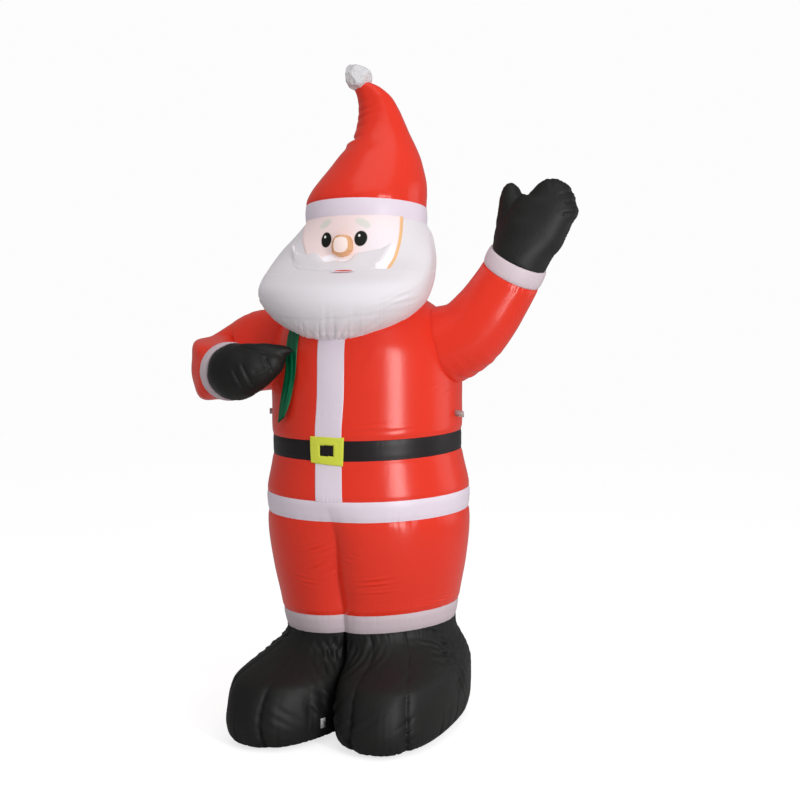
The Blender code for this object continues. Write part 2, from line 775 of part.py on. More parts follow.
def make_strap(parts, cutters):
    """The green strap that the right mitten holds. It hangs from under the beard."""
    sheet("strap", strap_rows(0.0, PATCH_STANDOFF), "green_satin", parts, STRAP_THICKNESS, closed=False)
    room = strap_rows(2 * SEAM_GAP, 0.0)
    thick = STRAP_THICKNESS + PATCH_STANDOFF + SEAM_GAP
    return helper(sheet("strap_room", room, "green_satin", cutters, thick, closed=False))


def tab(name, centre, along_tab, normal, parts):
    """A flat tab of folded webbing, along one direction and facing the other."""
    side = normal.cross(along_tab).normalized()
    work = bmesh.new()
    bmesh.ops.create_cube(work, size=1)
    for vert in work.verts:
        x, y, z = vert.co
        vert.co = centre + along_tab * (x * TETHER_LENGTH) + side * (y * TETHER_WIDTH)
        vert.co += normal * (z * TETHER_THICKNESS)
    mesh = bpy.data.meshes.new(name)
    work.to_mesh(mesh)
    work.free()
    add_object(name, mesh, "webbing", parts)


def make_tethers(parts):
    """Two tabs at the jacket's sides and one between the toes, for guy ropes."""
    z = TETHER_HEIGHT * PART
    for name, side in (("tether_left", 1), ("tether_right", -1)):
        place = body_point(z, side * TETHER_ANGLE, PATCH_STANDOFF)
        out = Vector((side, 0, 0))
        tab(name, place + out * (TETHER_LENGTH / 2 + TETHER_INSET), out, Vector((0, -1, 0)), parts)
    ring = boot_ring(FRONT_TETHER_HEIGHT * PART, -1, *BOOT_STANCE["boot_right"])
    k = round(BOOT_SIDES * FRONT_TETHER_TURN)
    run = (ring[k] - ring[k - 1]).normalized()
    normal = Vector((-run.y, run.x, 0))
    middle = (ring[k] + ring[k - 1]) / 2
    place = middle + normal * (TETHER_THICKNESS / 2 + FRONT_TETHER_STANDOFF)
    tab("tether_front", place, Vector((0, 0, 1)), normal, parts)


def settle(parts):
    """Moves the figure so that the origin is under the middle of its bounding box."""
    bpy.context.view_layer.update()
    graph = bpy.context.evaluated_depsgraph_get()
    corners = []
    for obj in parts.objects:
        done = obj.evaluated_get(graph)
        corners += [done.matrix_world @ Vector(corner) for corner in done.bound_box]
    middle = [(min(c[k] for c in corners) + max(c[k] for c in corners)) / 2 for k in range(2)]
    figure = bpy.data.objects.new("figure", None)
    bpy.context.scene.collection.objects.link(figure)
    figure.location = (-middle[0], -middle[1], 0)
    for obj in [o for o in bpy.data.objects if o.parent is None and o is not figure]:
        obj.parent = figure


def main():
    clear_scene()
    parts = make_collection("inflatable_santa")
    cutters = make_collection("cutters")
    make_body(parts)
    jacket_room = helper(loft("jacket_room", jacket_rings(SEAM_GAP), "red_cloth", cutters))
    make_trims(parts)
    placket_room = make_placket(parts, cutters)
    make_buckle(parts, cutters)
    make_boots(parts)
    sleeve_rooms = make_arms(jacket_room, parts, cutters)
    strap_room = make_strap(parts, cutters)
    make_head([jacket_room, *sleeve_rooms, placket_room, strap_room], parts, cutters)
    make_hat(parts, cutters)
    make_tethers(parts)
    settle(parts)


main()
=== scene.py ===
"""The looks of the inflatable Santa: sewn nylon panels, puckered seams, face and studio."""

import math

import bmesh
import bpy
import numpy as np
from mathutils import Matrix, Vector


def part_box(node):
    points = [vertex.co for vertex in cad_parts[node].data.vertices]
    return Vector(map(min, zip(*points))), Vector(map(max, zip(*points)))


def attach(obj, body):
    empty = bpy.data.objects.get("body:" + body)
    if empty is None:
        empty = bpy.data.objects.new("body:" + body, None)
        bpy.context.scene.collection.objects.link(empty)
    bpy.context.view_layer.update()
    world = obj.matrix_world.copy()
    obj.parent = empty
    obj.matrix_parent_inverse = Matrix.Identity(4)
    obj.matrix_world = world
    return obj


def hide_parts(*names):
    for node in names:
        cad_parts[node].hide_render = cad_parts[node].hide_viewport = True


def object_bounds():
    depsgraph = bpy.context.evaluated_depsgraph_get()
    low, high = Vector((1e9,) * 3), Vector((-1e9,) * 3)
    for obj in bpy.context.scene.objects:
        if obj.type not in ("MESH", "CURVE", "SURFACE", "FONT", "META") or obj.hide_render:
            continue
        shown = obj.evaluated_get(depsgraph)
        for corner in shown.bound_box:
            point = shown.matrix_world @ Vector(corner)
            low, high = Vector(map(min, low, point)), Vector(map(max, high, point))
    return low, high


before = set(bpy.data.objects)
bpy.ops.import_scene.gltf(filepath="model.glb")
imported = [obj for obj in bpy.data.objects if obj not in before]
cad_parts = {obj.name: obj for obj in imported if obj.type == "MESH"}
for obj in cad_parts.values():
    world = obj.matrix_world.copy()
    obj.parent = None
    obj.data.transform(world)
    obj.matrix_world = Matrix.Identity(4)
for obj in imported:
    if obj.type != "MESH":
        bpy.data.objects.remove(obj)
CAD_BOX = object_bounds()

# The figure's height in thousandths and the place of its axis.
PART = (CAD_BOX[1][2] - CAD_BOX[0][2]) / 1000
BAND_LOW, BAND_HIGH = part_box("hat_band")
AXIS = np.array([(BAND_LOW[k] + BAND_HIGH[k]) / 2 for k in range(2)] + [0.0])
FRONT = np.array([0.0, -1.0, 0.0])
UP = np.array([0.0, 0.0, 1.0])
FLAT = np.array([1, 1, 0])

# The direction that the figure is seen from, round from its front, and the two level directions it gives.
VIEW = math.radians(22)
ACROSS_VIEW = np.array([math.cos(VIEW), math.sin(VIEW), 0.0])
TOWARDS_VIEW = np.array([math.sin(VIEW), -math.cos(VIEW), 0.0])

# Heights of the seams, in thousandths of the figure's height.
CUFF_LOW, CUFF_HIGH = 148.5, 176.0
HEM_LOW, HEM_HIGH = 317.5, 347.5
BELT_LOW, BELT_HIGH = 404.8, 434.2
NECK = 659.0
HEAD_TOP = 760.5
BAND_TOP = 785.2

# Height, radius and middle (along Y) of the body column.
BODY_PROFILE = (
    (CUFF_LOW, 132.0, 21.0),
    (CUFF_HIGH, 137.5, 19.0),
    (190.0, 140.0, 18.5),
    (240.0, 150.0, 15.0),
    (300.0, 156.5, 10.5),
    (HEM_LOW, 156.0, 9.5),
    (HEM_HIGH, 157.0, 8.0),
    (365.0, 154.0, 7.0),
    (380.0, 150.5, 6.0),
    (396.0, 147.3, 5.0),
    (BELT_LOW, 146.0, 4.5),
    (BELT_HIGH, 146.0, 3.5),
    (442.0, 146.6, 3.4),
    (454.0, 147.0, 3.2),
    (478.0, 146.8, 3.0),
    (530.0, 146.8, 2.0),
    (570.0, 143.5, 1.0),
    (600.0, 133.0, 0.0),
    (620.0, 121.0, 0.0),
    (633.0, 109.0, 0.0),
    (646.0, 90.0, 0.0),
    (NECK, 66.0, 0.0),
)
# How deep the crease between the legs is at each height, as a share of the radius.
CREASE_TOP = 345.0
CREASE_PROFILE = (
    (CUFF_LOW, 0.17),
    (CUFF_HIGH, 0.175),
    (200.0, 0.19),
    (260.0, 0.17),
    (300.0, 0.115),
    (325.0, 0.045),
    (CREASE_TOP, 0.0),
)
# How the rings round the body tilt, and how much they sag in front.
TILT_PROFILE = (
    (CUFF_LOW, 0.055),
    (CUFF_HIGH, 0.05),
    (250.0, 0.03),
    (330.0, 0.020),
    (420.0, 0.030),
    (520.0, 0.01),
    (NECK, 0.0),
)
SAG_PROFILE = (
    (CUFF_LOW, 0.0),
    (190.0, 0.5),
    (330.0, 8.5),
    (420.0, 9.5),
    (520.0, 3.0),
    (600.0, 0.0),
    (NECK, 0.0),
)

# Height, middle, half width, and reach to the front and to the back of the head with its beard.
BEARD_LOW = 577.5
HEAD_PROFILE = (
    (BEARD_LOW, -122.0, 10.0, 10.0, 10.0),
    (581.0, -120.0, 32.0, 32.0, 30.0),
    (590.5, -115.0, 60.0, 56.0, 55.0),
    (605.0, -105.0, 90.0, 81.0, 80.0),
    (620.0, -99.0, 110.0, 94.0, 96.0),
    (635.0, -93.0, 124.0, 100.0, 112.0),
    (656.0, -87.0, 133.0, 93.0, 124.0),
    (675.0, -77.0, 135.0, 66.0, 124.0),
    (694.0, -62.0, 132.0, 47.0, 119.0),
    (723.5, -35.0, 120.0, 60.5, 105.0),
    (745.0, -10.0, 106.0, 83.5, 94.0),
    (HEAD_TOP, 0.0, 93.0, 93.0, 93.0),
)
# Height, middle (X, Y) and radius of the hat.
HAT_PATH = (
    (784.0, 0.0, 0.0, 92.8),
    (790.0, 0.0, 0.0, 92.6),
    (806.5, 3.6, 1.5, 89.5),
    (825.0, 9.3, 3.8, 82.5),
    (843.7, 14.4, 5.8, 73.0),
    (862.3, 18.6, 7.5, 63.5),
    (880.9, 22.2, 9.0, 52.0),
    (899.5, 23.0, 8.0, 42.5),
    (918.0, 22.5, 4.0, 36.0),
    (936.6, 20.8, -2.0, 30.5),
    (955.2, 15.5, -11.0, 25.0),
    (966.0, 8.0, -19.0, 19.5),
    (971.5, 4.0, -24.0, 14.0),
)
# Places along each sleeve, with its radius.
LEFT_SLEEVE_PATH = (
    (60.0, -2.0, 566.0, 72.0),
    (100.0, -1.0, 568.0, 67.0),
    (128.0, 0.0, 574.0, 61.0),
    (159.5, 0.0, 587.5, 56.0),
    (189.0, 0.0, 616.5, 51.5),
    (209.5, 0.0, 644.5, 48.0),
    (227.5, 0.0, 673.0, 45.5),
    (240.5, 0.0, 700.0, 45.0),
)
RIGHT_SLEEVE_PATH = (
    (-60.0, 0.0, 565.0, 68.0),
    (-100.0, 0.0, 568.0, 65.0),
    (-135.0, 0.0, 570.5, 64.0),
    (-173.0, 0.0, 568.5, 64.5),
    (-210.0, -4.0, 557.0, 58.5),
    (-228.0, -28.0, 546.5, 50.5),
    (-222.0, -61.0, 539.5, 46.5),
    (-199.0, -90.0, 535.5, 44.0),
    (-171.0, -114.0, 534.5, 43.0),
)
# Places along each palm and thumb, with the half width and the half thickness.
LEFT_PALM = (
    (240.5, 0.0, 700.0, 43.5, 43.0),
    (244.2, 0.0, 707.3, 44.5, 42.0),
    (253.6, 0.0, 729.8, 48.5, 38.0),
    (266.0, 0.0, 748.0, 49.0, 34.0),
    (279.0, 0.0, 765.0, 44.5, 30.0),
    (287.5, 0.0, 780.0, 38.5, 26.0),
    (289.5, 0.0, 795.5, 31.0, 20.0),
    (289.5, 0.0, 807.5, 20.0, 12.0),
    (289.5, 0.0, 813.5, 8.0, 5.0),
)
LEFT_THUMB = (
    (232.0, 0.0, 724.0, 22.0, 24.0),
    (229.1, 0.0, 755.9, 21.5, 21.0),
    (228.7, 0.0, 777.4, 18.5, 17.0),
    (229.0, 0.0, 796.0, 15.0, 13.0),
    (228.4, 0.0, 807.5, 9.0, 8.0),
    (228.4, 0.0, 812.3, 3.0, 3.0),
)
RIGHT_PALM = (
    (-171.0, -114.0, 534.5, 41.5, 41.5),
    (-164.5, -119.4, 534.3, 42.0, 42.0),
    (-154.0, -135.0, 534.0, 42.0, 43.0),
    (-138.0, -152.0, 535.0, 41.0, 41.0),
    (-112.0, -155.0, 541.0, 34.0, 34.0),
    (-90.0, -151.0, 549.0, 24.0, 25.0),
    (-74.0, -146.0, 557.0, 12.0, 13.0),
    (-68.0, -144.5, 560.0, 4.0, 4.0),
)
RIGHT_THUMB = (
    (-140.0, -160.0, 557.0, 17.0, 17.0),
    (-112.0, -163.0, 562.0, 14.0, 16.0),
    (-84.0, -153.0, 564.0, 11.0, 13.0),
    (-66.0, -144.5, 564.5, 7.0, 9.0),
    (-58.0, -141.5, 564.5, 2.5, 3.5),
)
# Height, middle (X, Y), half width and half length of a boot.
BOOT_TOP = CUFF_LOW
BOOT_PROFILE = (
    (0.0, 75.0, -33.0, 58.0, 139.0),
    (2.0, 75.0, -33.0, 63.5, 146.0),
    (5.0, 75.0, -33.0, 69.0, 153.0),
    (12.0, 75.0, -33.0, 77.0, 160.0),
    (26.0, 75.0, -32.0, 82.5, 165.5),
    (50.0, 75.0, -29.0, 84.5, 166.0),
    (74.0, 75.0, -25.0, 84.5, 159.5),
    (96.0, 75.0, -17.0, 83.0, 148.0),
    (118.0, 75.0, -5.0, 80.0, 136.0),
    (BOOT_TOP, 65.0, 4.0, 62.0, 130.0),
)
# The boot's side of the figure, how far it steps forward and inwards, and how far its toes point outwards.
BOOT_STANCE = {
    "boot_left": (1, 0.0, 0.0, 0.0),
    "boot_right": (-1, 26.0, 9.0, math.radians(12)),
}
BOOT_SQUARENESS = 2.4
BOOT_BLEND_FROM = 84.0

POMPOM_CENTRE = (-2.0, -31.0, 979.2)
POMPOM_RADIUS = 20.8
POMPOM_FACETS = 34


def through(table, keys):
    """Rows of values on a smooth curve through the table's rows (key, value, ...), for an array of keys."""
    rows = np.array(table, float)
    stops, values = rows[:, 0], rows[:, 1:]
    slopes = np.gradient(values, stops, axis=0)
    keys = np.asarray(keys, float)
    i = np.clip(np.searchsorted(stops, keys) - 1, 0, len(stops) - 2)
    span = (stops[i + 1] - stops[i])[..., None]
    t = np.clip((keys - stops[i])[..., None] / span, 0, 1)
    ahead = t * t * (3 - 2 * t)
    smooth = values[i] * (1 - ahead) + values[i + 1] * ahead
    return smooth + slopes[i] * span * t * (1 - t) ** 2 - slopes[i + 1] * span * t * t * (1 - t)


def ripple(angle, count, seed, spread=0.35, terms=6):
    """An uneven wave round a ring, about -1 to 1, of about that many crests."""
    chance = np.random.default_rng(seed)
    total = 0.0
    for _ in range(terms):
        n = round(count * (1 + spread * chance.uniform(-1, 1)))
        total = total + np.cos(n * angle + chance.uniform(0, 2 * math.pi))
    return total / math.sqrt(terms / 2) / 1.6


def creases(angle, count, seed, width=0.35):
    """Narrow valleys of uneven depth round a ring, from 0 to -1."""
    depth = 0.35 + 0.65 * np.clip(0.5 + 0.8 * ripple(angle, count * 0.45, seed + 1), 0, 1)
    return -np.exp(-((ripple(angle, count, seed) / width) ** 2)) * depth


def folds(x, z, place, size, turn, wavelength, seed):
    """A patch of short parallel folds that fades out round its place, turned by an angle in radians."""
    chance = np.random.default_rng(seed)
    dx, dz = x - place[0], z - place[1]
    along = dx * math.cos(turn) + dz * math.sin(turn)
    across = -dx * math.sin(turn) + dz * math.cos(turn)
    fade = np.exp(-((along / size[0]) ** 2) - (across / size[1]) ** 2)
    wave = 0.0
    for _ in range(4):
        k = 2 * math.pi / wavelength * chance.uniform(0.65, 1.35)
        bend = chance.uniform(-0.25, 0.25)
        wave = wave + np.cos(k * (across + bend * along) + chance.uniform(0, 6))
    return fade * wave / 2.6


def patches(x, z, rows):
    """The sum of several patches of folds. Each row gives the depth first, then the patch."""
    return sum(deep * folds(x, z, *patch) for deep, *patch in rows)


def wrapped(a):
    """An angle brought between minus half a turn and half a turn."""
    return (a + math.pi) % (2 * math.pi) - math.pi


def degrees_round(a):
    """An angle as degrees from -180 to 180."""
    return np.degrees(wrapped(a))


def unit(v):
    """The same directions, one unit long."""
    return v / np.maximum(np.linalg.norm(v, axis=-1, keepdims=True), 1e-12)


def normals(p, closed):
    """Outward directions of a grid of points, rows by columns."""
    if closed:
        across = np.roll(p, -1, axis=1) - np.roll(p, 1, axis=1)
    else:
        across = np.gradient(p, axis=1)
    return unit(np.cross(across, np.gradient(p, axis=0)))


def faces_in(p, row=None):
    """Whether a closed tube's directions point inwards at a row, or at its middle row."""
    row = len(p) // 2 if row is None else row
    ring = p[row]
    return float((normals(p, True)[row] * (ring - ring.mean(axis=0))).sum()) < 0


def outward(p, row):
    """Directions out of a closed tube's points, told by one of its rows."""
    return normals(p, True) * (-1 if faces_in(p, row) else 1)


def grid_piece(name, p, closed, material, uv=None, caps=(False, False), flip=False):
    """A mesh over a grid of points, rows by columns, closed round the columns or not."""
    rows, cols = p.shape[:2]
    verts = p.reshape(-1, 3)
    index = np.arange(rows * cols).reshape(rows, cols)
    k = np.arange(cols if closed else cols - 1)
    n = (k + 1) % cols
    quads = np.stack([index[:-1][:, k], index[:-1][:, n], index[1:][:, n], index[1:][:, k]], axis=-1)
    quads = quads.reshape(-1, 4)
    if flip:
        quads = quads[:, ::-1]
    faces = quads.tolist()
    if uv is None:
        step = np.linalg.norm(np.diff(p, axis=0), axis=-1).mean(axis=1)
        tall = np.concatenate([[0], np.cumsum(step)])
        wide = np.linalg.norm(np.diff(p, axis=1), axis=-1).sum(axis=1).mean() / (cols - 1)
        grid_u, grid_v = np.meshgrid(np.arange(cols + 1) * wide, tall)
    else:
        grid_u, grid_v = uv
    far = k + 1
    if not closed:
        far = n
    us = np.stack([grid_u[:-1][:, k], grid_u[:-1][:, far], grid_u[1:][:, far], grid_u[1:][:, k]], axis=-1)
    vs = np.stack([grid_v[:-1][:, k], grid_v[:-1][:, far], grid_v[1:][:, far], grid_v[1:][:, k]], axis=-1)
    loops = np.stack([us.reshape(-1, 4), vs.reshape(-1, 4)], axis=-1)
    if flip:
        loops = loops[:, ::-1]
    loops = loops.reshape(-1, 2)
    extra = []
    points = [verts]
    for cap, row, last in zip(caps, (index[0], index[-1]), (False, True)):
        if cap:
            centre = len(verts) + len(extra)
            extra.append(verts[row].mean(axis=0))
            around = list(row)
            for a, b in zip(around, around[1:] + around[:1]):
                faces.append([a, b, centre] if last != flip else [b, a, centre])
    if extra:
        points.append(np.array(extra))
    mesh = bpy.data.meshes.new(name)
    mesh.from_pydata(np.concatenate(points).tolist(), [], faces)
    layer = mesh.uv_layers.new(name="cloth")
    flat = np.zeros((len(mesh.loops), 2))
    flat[: len(loops)] = loops
    layer.data.foreach_set("uv", flat.ravel())
    mesh.shade_smooth()
    mesh.materials.append(material)
    obj = bpy.data.objects.new(name, mesh)
    bpy.context.scene.collection.objects.link(obj)
    return obj


def finish_piece(obj, slot, *nodes):
    """The piece belongs to the figure and stands for these nodes."""
    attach(obj, "root")
    if nodes:
        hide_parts(*nodes)


def group_socket(group, name, way, kind, value=None):
    """A named input or output of a shader node group."""
    socket = group.interface.new_socket(name=name, in_out=way, socket_type=kind)
    if value is not None:
        socket.default_value = value


def nylon_group():
    """The relief of woven nylon under slight tension: fine crumple and faint long waves."""
    group = bpy.data.node_groups.new("nylon_relief", "ShaderNodeTree")
    group_socket(group, "Vector", "INPUT", "NodeSocketVector")
    group_socket(group, "Crumple", "INPUT", "NodeSocketFloat", 0.4)
    group_socket(group, "Wave", "INPUT", "NodeSocketFloat", 0.5)
    group_socket(group, "Height", "OUTPUT", "NodeSocketFloat")
    add, link = group.nodes.new, group.links.new
    start, end = add("NodeGroupInput"), add("NodeGroupOutput")
    fine = add("ShaderNodeTexNoise")
    fine.inputs["Scale"].default_value = 60
    fine.inputs["Detail"].default_value = 3
    fine.inputs["Roughness"].default_value = 0.6
    wide = add("ShaderNodeTexNoise")
    wide.inputs["Scale"].default_value = 7
    wide.inputs["Detail"].default_value = 2
    link(start.outputs["Vector"], fine.inputs["Vector"])
    link(start.outputs["Vector"], wide.inputs["Vector"])
    first, second, total = add("ShaderNodeMath"), add("ShaderNodeMath"), add("ShaderNodeMath")
    first.operation = second.operation = "MULTIPLY"
    link(fine.outputs["Fac"], first.inputs[0])
    link(start.outputs["Crumple"], first.inputs[1])
    link(wide.outputs["Fac"], second.inputs[0])
    link(start.outputs["Wave"], second.inputs[1])
    link(first.outputs[0], total.inputs[0])
    link(second.outputs[0], total.inputs[1])
    link(total.outputs[0], end.inputs["Height"])
    return group


def tone_group():
    """A cloth colour with its soft unevenness."""
    group = bpy.data.node_groups.new("nylon_tone", "ShaderNodeTree")
    group_socket(group, "Vector", "INPUT", "NodeSocketVector")
    group_socket(group, "Light Colour", "INPUT", "NodeSocketColor")
    group_socket(group, "Dark Colour", "INPUT", "NodeSocketColor")
    group_socket(group, "Colour", "OUTPUT", "NodeSocketColor")
    add, link = group.nodes.new, group.links.new
    start, end = add("NodeGroupInput"), add("NodeGroupOutput")
    noise = add("ShaderNodeTexNoise")
    noise.inputs["Scale"].default_value = 3.5
    noise.inputs["Detail"].default_value = 3
    mix = add("ShaderNodeMix")
    mix.data_type = "RGBA"
    link(start.outputs["Vector"], noise.inputs["Vector"])
    link(noise.outputs["Fac"], mix.inputs["Factor"])
    link(start.outputs["Light Colour"], mix.inputs["A"])
    link(start.outputs["Dark Colour"], mix.inputs["B"])
    link(mix.outputs["Result"], end.inputs["Colour"])
    return group


NYLON = nylon_group()
TONE = tone_group()


def nylon(name, light, dark, rough=0.42, glow=0.0, crumple=0.4, relief=0.05, specular=0.5):
    """Woven nylon in two close tones of a colour, with a painted glow for some of the light that shines
    through from inside.
    """
    material = bpy.data.materials.new(name)
    material.use_nodes = True
    tree = material.node_tree
    add, link = tree.nodes.new, tree.links.new
    shader = tree.nodes["Principled BSDF"]
    place = add("ShaderNodeTexCoord")
    tone = add("ShaderNodeGroup")
    tone.node_tree = TONE
    tone.inputs["Light Colour"].default_value = (*light, 1)
    tone.inputs["Dark Colour"].default_value = (*dark, 1)
    link(place.outputs["Object"], tone.inputs["Vector"])
    link(tone.outputs["Colour"], shader.inputs["Base Color"])
    cloth = add("ShaderNodeGroup")
    cloth.node_tree = NYLON
    cloth.inputs["Crumple"].default_value = crumple
    link(place.outputs["Object"], cloth.inputs["Vector"])
    bump = add("ShaderNodeBump")
    bump.inputs["Strength"].default_value = relief
    bump.inputs["Distance"].default_value = 0.02
    link(cloth.outputs["Height"], bump.inputs["Height"])
    link(bump.outputs["Normal"], shader.inputs["Normal"])
    shader.inputs["Roughness"].default_value = rough
    shader.inputs["Specular IOR Level"].default_value = specular
    if glow:
        link(tone.outputs["Colour"], shader.inputs["Emission Color"])
        shader.inputs["Emission Strength"].default_value = glow
    return material


# The cloths: a light and a dark tone of each colour, then their finish, which includes a painted glow for
# the lamp inside.
RED = nylon("red_nylon", (0.78, 0.040, 0.019), (0.70, 0.031, 0.014), rough=0.25, glow=0.12, specular=0.28)
WHITE = nylon("white_nylon", (0.77, 0.68, 0.77), (0.74, 0.65, 0.74), rough=0.4, glow=0.10, specular=0.3)
# The cuffs' cloth is the white cloth painted darker and pinker: painted shade and painted reflection of the
# red cloth beside it, with less of the painted glow.
PAINTED_SHADE_CUFF = nylon("cuff_nylon_painted_shade", (0.68, 0.57, 0.62), (0.64, 0.53, 0.57), rough=0.5, glow=0.03, specular=0.3)
BEARD = nylon("beard_nylon", (0.79, 0.75, 0.79), (0.77, 0.73, 0.76), rough=0.55, glow=0.05, specular=0.22)
BLACK = nylon("black_nylon", (0.011, 0.012, 0.011), (0.008, 0.009, 0.008), 0.56, relief=0.12, specular=0.27)
BELT_BLACK = nylon("belt_nylon", (0.016, 0.012, 0.014), (0.012, 0.009, 0.011), specular=0.25)
YELLOW = nylon("yellow_nylon", (0.76, 0.82, 0.08), (0.66, 0.71, 0.06), 0.6, 0.03, relief=0.3, specular=0.25)
GREEN = nylon("green_satin", (0.0, 0.19, 0.075), (0.0, 0.12, 0.045), rough=0.34, relief=0.15, specular=0.4)
TAPE = nylon("webbing", (0.55, 0.42, 0.42), (0.48, 0.37, 0.37), rough=0.8, relief=0.5, specular=0.2)
SILVER = nylon("silver_tape", (0.62, 0.62, 0.62), (0.45, 0.45, 0.45), rough=0.5, relief=0.4)
PEACH = nylon("peach_edge", (0.80, 0.46, 0.24), (0.72, 0.38, 0.19), 0.6, 0.08, relief=0.2, specular=0.25)
PALE = nylon("pale_nylon", (0.92, 0.77, 0.73), (0.90, 0.73, 0.68), rough=0.55, glow=0.18, specular=0.25)
POMPOM_WHITE = nylon("pompom_nylon", (0.80, 0.78, 0.80), (0.68, 0.67, 0.69), 0.5, crumple=1.0, relief=0.5)


def column(v, a, seams=(), bulge=None):
    """The body column's surface. v is the height along the cloth and a the angle from the front."""
    v, a = np.broadcast_arrays(np.asarray(v, float), np.asarray(a, float))
    profile = through(BODY_PROFILE, v)
    radius, middle = profile[..., 0].copy(), profile[..., 1]
    depth = through(CREASE_PROFILE, np.minimum(v, CREASE_TOP))[..., 0]
    line = math.radians(0.8) * np.sin(v / 21.0)
    turn = np.abs(wrapped(a - line))
    spread = math.radians(12)
    radius *= 1 - depth * (np.exp(-turn / spread) + 0.6 * np.exp(-(math.pi - turn) / spread))
    for height, valley, pucker, reach, count, seed in seams:
        away = np.abs(v - height)
        radius -= valley * np.exp(-((away / 4.5) ** 2))
        radius += pucker * np.exp(-away / reach) * creases(a, count, seed)
    if bulge is not None:
        radius += bulge(v, a)
    tilt = through(TILT_PROFILE, v)[..., 0]
    sag = through(SAG_PROFILE, v)[..., 0] * (1 - np.maximum(np.cos(a - VIEW), 0) ** 1.3)
    x = radius * np.sin(a)
    y = middle - radius * np.cos(a)
    return np.stack([x, y, v + sag + tilt * radius * np.sin(a)], axis=-1)


def placed(p):
    """Points in thousandths of the height, about the axis, as metres in the frame."""
    return np.asarray(p) * PART + AXIS


def lipped(p, centre_y, depth=5.0, ends=(True, True)):
    """Turns the first and last rows inwards, as the seam allowance is."""
    middle = np.array([0.0, centre_y, 0.0])
    first, last = (row - unit((row - middle) * FLAT) * depth for row in (p[:1], p[-1:]))
    return np.concatenate([first] * ends[0] + [p] + [last] * ends[1])


def levels(low, high, count, finer=0.55):
    """Heights from low to high, closer together at both ends."""
    t = np.linspace(0, 1, count)
    return low + (high - low) * (t - finer * np.sin(2 * math.pi * t) / (2 * math.pi))


# Angles round the body and the hat.
AROUND = np.linspace(0, 2 * math.pi, 380, endpoint=False)

# Each seam's height, the depth of its valley and of its puckers, their reach, number and seed.
CUFF_SEAM_LOW = (CUFF_LOW, 1.0, 0.8, 6.0, 70, 11)
CUFF_SEAM_HIGH = (CUFF_HIGH, 1.2, 1.2, 10.0, 80, 12)
HEM_SEAM_LOW = (HEM_LOW, 1.2, 1.1, 9.0, 80, 13)
HEM_SEAM_HIGH = (HEM_HIGH, 1.0, 0.7, 7.0, 80, 14)
BELT_SEAM_LOW = (BELT_LOW, 1.0, 0.5, 7.0, 90, 15)
BELT_SEAM_HIGH = (BELT_HIGH, 1.0, 0.5, 7.0, 90, 16)

# Patches of folds: depth, place, size, turn, wavelength and seed.
TROUSER_FOLDS = (
    (1.17, (24, 224), (11, 15), 0.12, 8.0, 21),
    (0.78, (-22, 228), (10, 10), -0.35, 7.0, 22),
    (1.3, (-5, 246), (7, 14), 0.9, 6.0, 23),
    (1.04, (-11, 276), (9, 12), 0.8, 6.5, 24),
    (0.65, (7, 262), (5, 16), -0.6, 6.0, 25),
    (0.91, (150, 210), (16, 12), 0.1, 8.0, 26),
    (0.91, (-120, 215), (16, 12), -0.2, 8.0, 27),
    (0.65, (70, 190), (16, 8), 0.0, 7.0, 28),
)
CHEST_FOLDS = (
    (0.48, (28, 452), (20, 8), 0.05, 10.0, 31),
    (0.48, (18, 560), (30, 9), 1.45, 12.0, 32),
    (0.42, (-22, 540), (30, 9), 1.6, 11.0, 33),
    (0.48, (70, 505), (10, 12), 0.9, 8.0, 34),
    (0.48, (-70, 505), (10, 12), -0.9, 8.0, 35),
    (0.3, (180, 520), (30, 20), 1.5, 14.0, 36),
)
STRIP_FOLDS = ((0.3, (1, 470), (4, 40), 1.5, 6.0, 41),)


def trouser_relief(v, a):
    """Folds beside the crease and above the cuffs."""
    return patches(degrees_round(a), v, TROUSER_FOLDS)


def chest_relief(v, a):
    """Soft long drapes on the chest, and pull lines from the armholes."""
    return patches(degrees_round(a), v, CHEST_FOLDS)


def make_body():
    """The rings of the body from the trousers up to the chest, each sewn to the next."""
    a = AROUND[None, :]
    v = levels(CUFF_HIGH, HEM_LOW, 120)[:, None]
    p = column(v, a, (CUFF_SEAM_HIGH, HEM_SEAM_LOW), trouser_relief)
    p = lipped(p, 14.0)
    finish_piece(grid_piece("trousers_cloth", placed(p), True, RED), "red_cloth", "trousers")

    v = levels(CUFF_LOW, CUFF_HIGH, 20)[:, None]
    p = lipped(column(v, a, (CUFF_SEAM_LOW, CUFF_SEAM_HIGH)), 20.0)
    finish_piece(grid_piece("trouser_cuff_band", placed(p), True, PAINTED_SHADE_CUFF), "white_cloth", "trouser_cuffs")

    v = levels(HEM_LOW, HEM_HIGH, 20)[:, None]
    p = lipped(column(v, a, (HEM_SEAM_LOW, HEM_SEAM_HIGH)), 9.0)
    finish_piece(grid_piece("hem_band", placed(p), True, WHITE), "white_cloth", "jacket_hem")

    v = levels(HEM_HIGH, BELT_LOW, 40)[:, None]
    p = lipped(column(v, a, (HEM_SEAM_HIGH, BELT_SEAM_LOW)), 6.0)
    skirt = grid_piece("jacket_skirt", placed(p), True, RED)

    v = levels(BELT_LOW, BELT_HIGH, 20)[:, None]
    p = lipped(column(v, a, (BELT_SEAM_LOW, BELT_SEAM_HIGH)), 4.0)
    finish_piece(grid_piece("belt_band", placed(p), True, BELT_BLACK), "black_cloth", "belt")

    v = levels(BELT_HIGH, NECK, 130)[:, None]
    p = lipped(column(v, a, (BELT_SEAM_HIGH,), chest_relief), 3.0, ends=(True, False))
    chest = grid_piece("jacket_chest", placed(p), True, RED, caps=(False, True))
    finish_piece(skirt, "red_cloth")
    finish_piece(chest, "red_cloth", "jacket")


